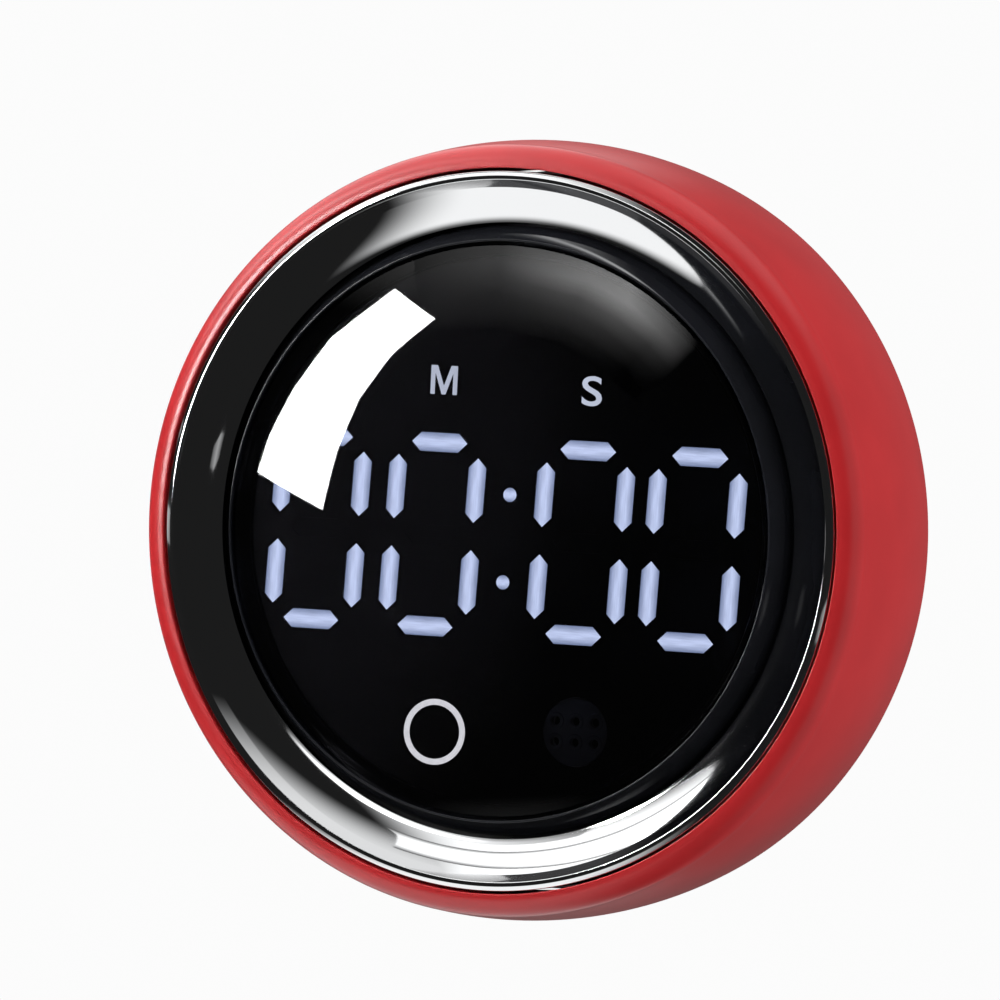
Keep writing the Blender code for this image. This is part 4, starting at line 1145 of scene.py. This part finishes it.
KEY_STRIP = (
    ((-47.8, 2.2, 1), (-39.7, -0.6, 1)),
    ((-46.8, 5.5, 1), (-38.5, 4.8, 1)),
    ((-44.9, 9.5, 1), (-36.8, 9.6, 1)),
    ((-41.6, 14.6, 1), (-33.9, 14.1, 1)),
    ((-35.6, 19.9, 1), (-30.0, 17.8, 1)),
)
TOP_VEIL = (
    ((-30, 16.4, 0), (-23, 17.4, 0), (-16, 16.9, 0), (-12.5, 15.6, 0), (-9, 13.6, 0), (-6.5, 12, 0)),
    ((-31, 17.2, 0.02), (-23.5, 19, 0.03), (-15.5, 18.3, 0.03), (-12, 17, 0.02), (-8, 15, 0), (-6, 13, 0)),
    ((-32, 18.8, 0.04), (-24, 21, 0.06), (-15, 20, 0.11), (-11, 18.6, 0.09), (-7, 16.4, 0.03), (-4, 14, 0)),
    ((-33, 20, 0.04), (-24, 22.3, 0.12), (-14.5, 21.5, 0.25), (-10, 20, 0.3), (-6, 17.6, 0.11), (-3, 15, 0)),
    ((-34, 21.6, 0.06), (-24.3, 24, 0.2), (-14, 23.3, 0.8), (-9, 21.6, 1), (-5, 19, 0.42), (-2, 16.4, 0)),
    ((-34.2, 22.8, 0.07), (-24.4, 25.4, 0.2), (-14, 24.6, 0.7), (-9, 23, 0.9), (-4.5, 20, 0.4), (-1, 17.5, 0)),
    ((-34.6, 24.4, 0.1), (-24.5, 27, 0.2), (-14, 26, 0.1), (-8.6, 24.6, 0.05), (-4, 22, 0.02), (-1, 19, 0)),
)
SHOULDER_LAMP = (
    ((-10, 37, 0), (-28, 35, 0), (-48, 30, 0), (-64, 23, 0), (-73, 10, 0)),
    ((-12, 41, 0.25), (-30, 39, 0.35), (-51, 34, 0.6), (-68, 27, 1), (-77, 14, 0.5)),
    ((-12, 52, 0.25), (-36, 49, 0.35), (-57, 44, 0.6), (-75, 36, 1), (-84, 22, 0.5)),
    ((-12, 57, 0), (-40, 54, 0), (-62, 48, 0), (-80, 41, 0), (-90, 26, 0)),
)
RIGHT_SPARK = (
    ((-57, -4.2, 0.2), (-66, -4.0, 1), (-84, -3.6, 0.3)),
    ((-57, -1.4, 0.4), (-66, -0.6, 1), (-84, -1.0, 0.2)),
)
LOWER_SPARK = (
    ((-59, 4.8, 0.3), (-66, 4.6, 1), (-76, 5.0, 0.2)),
    ((-59, 6.2, 0.2), (-66, 6.8, 0.8), (-76, 6.4, 0.2)),
)
LEFT_SPARK = (
    ((15, -11, 0.2), (19, -12, 1), (24, -11, 0.3)),
    ((15, -8, 0.3), (19, -7, 1), (24, -8, 0.2)),
)
RIGHT_FILL = (((50, -60, 1), (140, -60, 1)), ((60, 60, 1), (130, 60, 1)))
BOTTOM_FILL = (((-135, -50, 1), (-45, -50, 1)), ((135, -50, 1), (45, -50, 1)))
TOP_FILL = (((-135, 50, 1), (-45, 50, 1)), ((135, 50, 1), (45, 50, 1)))

red_ring()
chrome_trim()
bezel()
lens()
display()
grille()
housing()
back()
door()
magnets()
back_screws()
knob()
cells()
springs()
finish_nodes()
studio()
floor()
panel("key strip", KEY_STRIP, 0.8, 40)
panel("top veil", TOP_VEIL, 0.9, 5.7)
panel("shoulder lamp", SHOULDER_LAMP, 1.0, 6)
panel("right fill", RIGHT_FILL, 0.9, 1.7, False)
panel("top fill", TOP_FILL, 0.9, 1.6, False)
panel("bottom fill", BOTTOM_FILL, 0.9, 1.3, False)
panel("right spark", RIGHT_SPARK, 0.9, 0.9)
panel("lower right spark", LOWER_SPARK, 0.9, 0.7)
panel("left spark", LEFT_SPARK, 0.9, 0.45)
camera()
bpy.context.scene.view_settings.view_transform = "Standard"
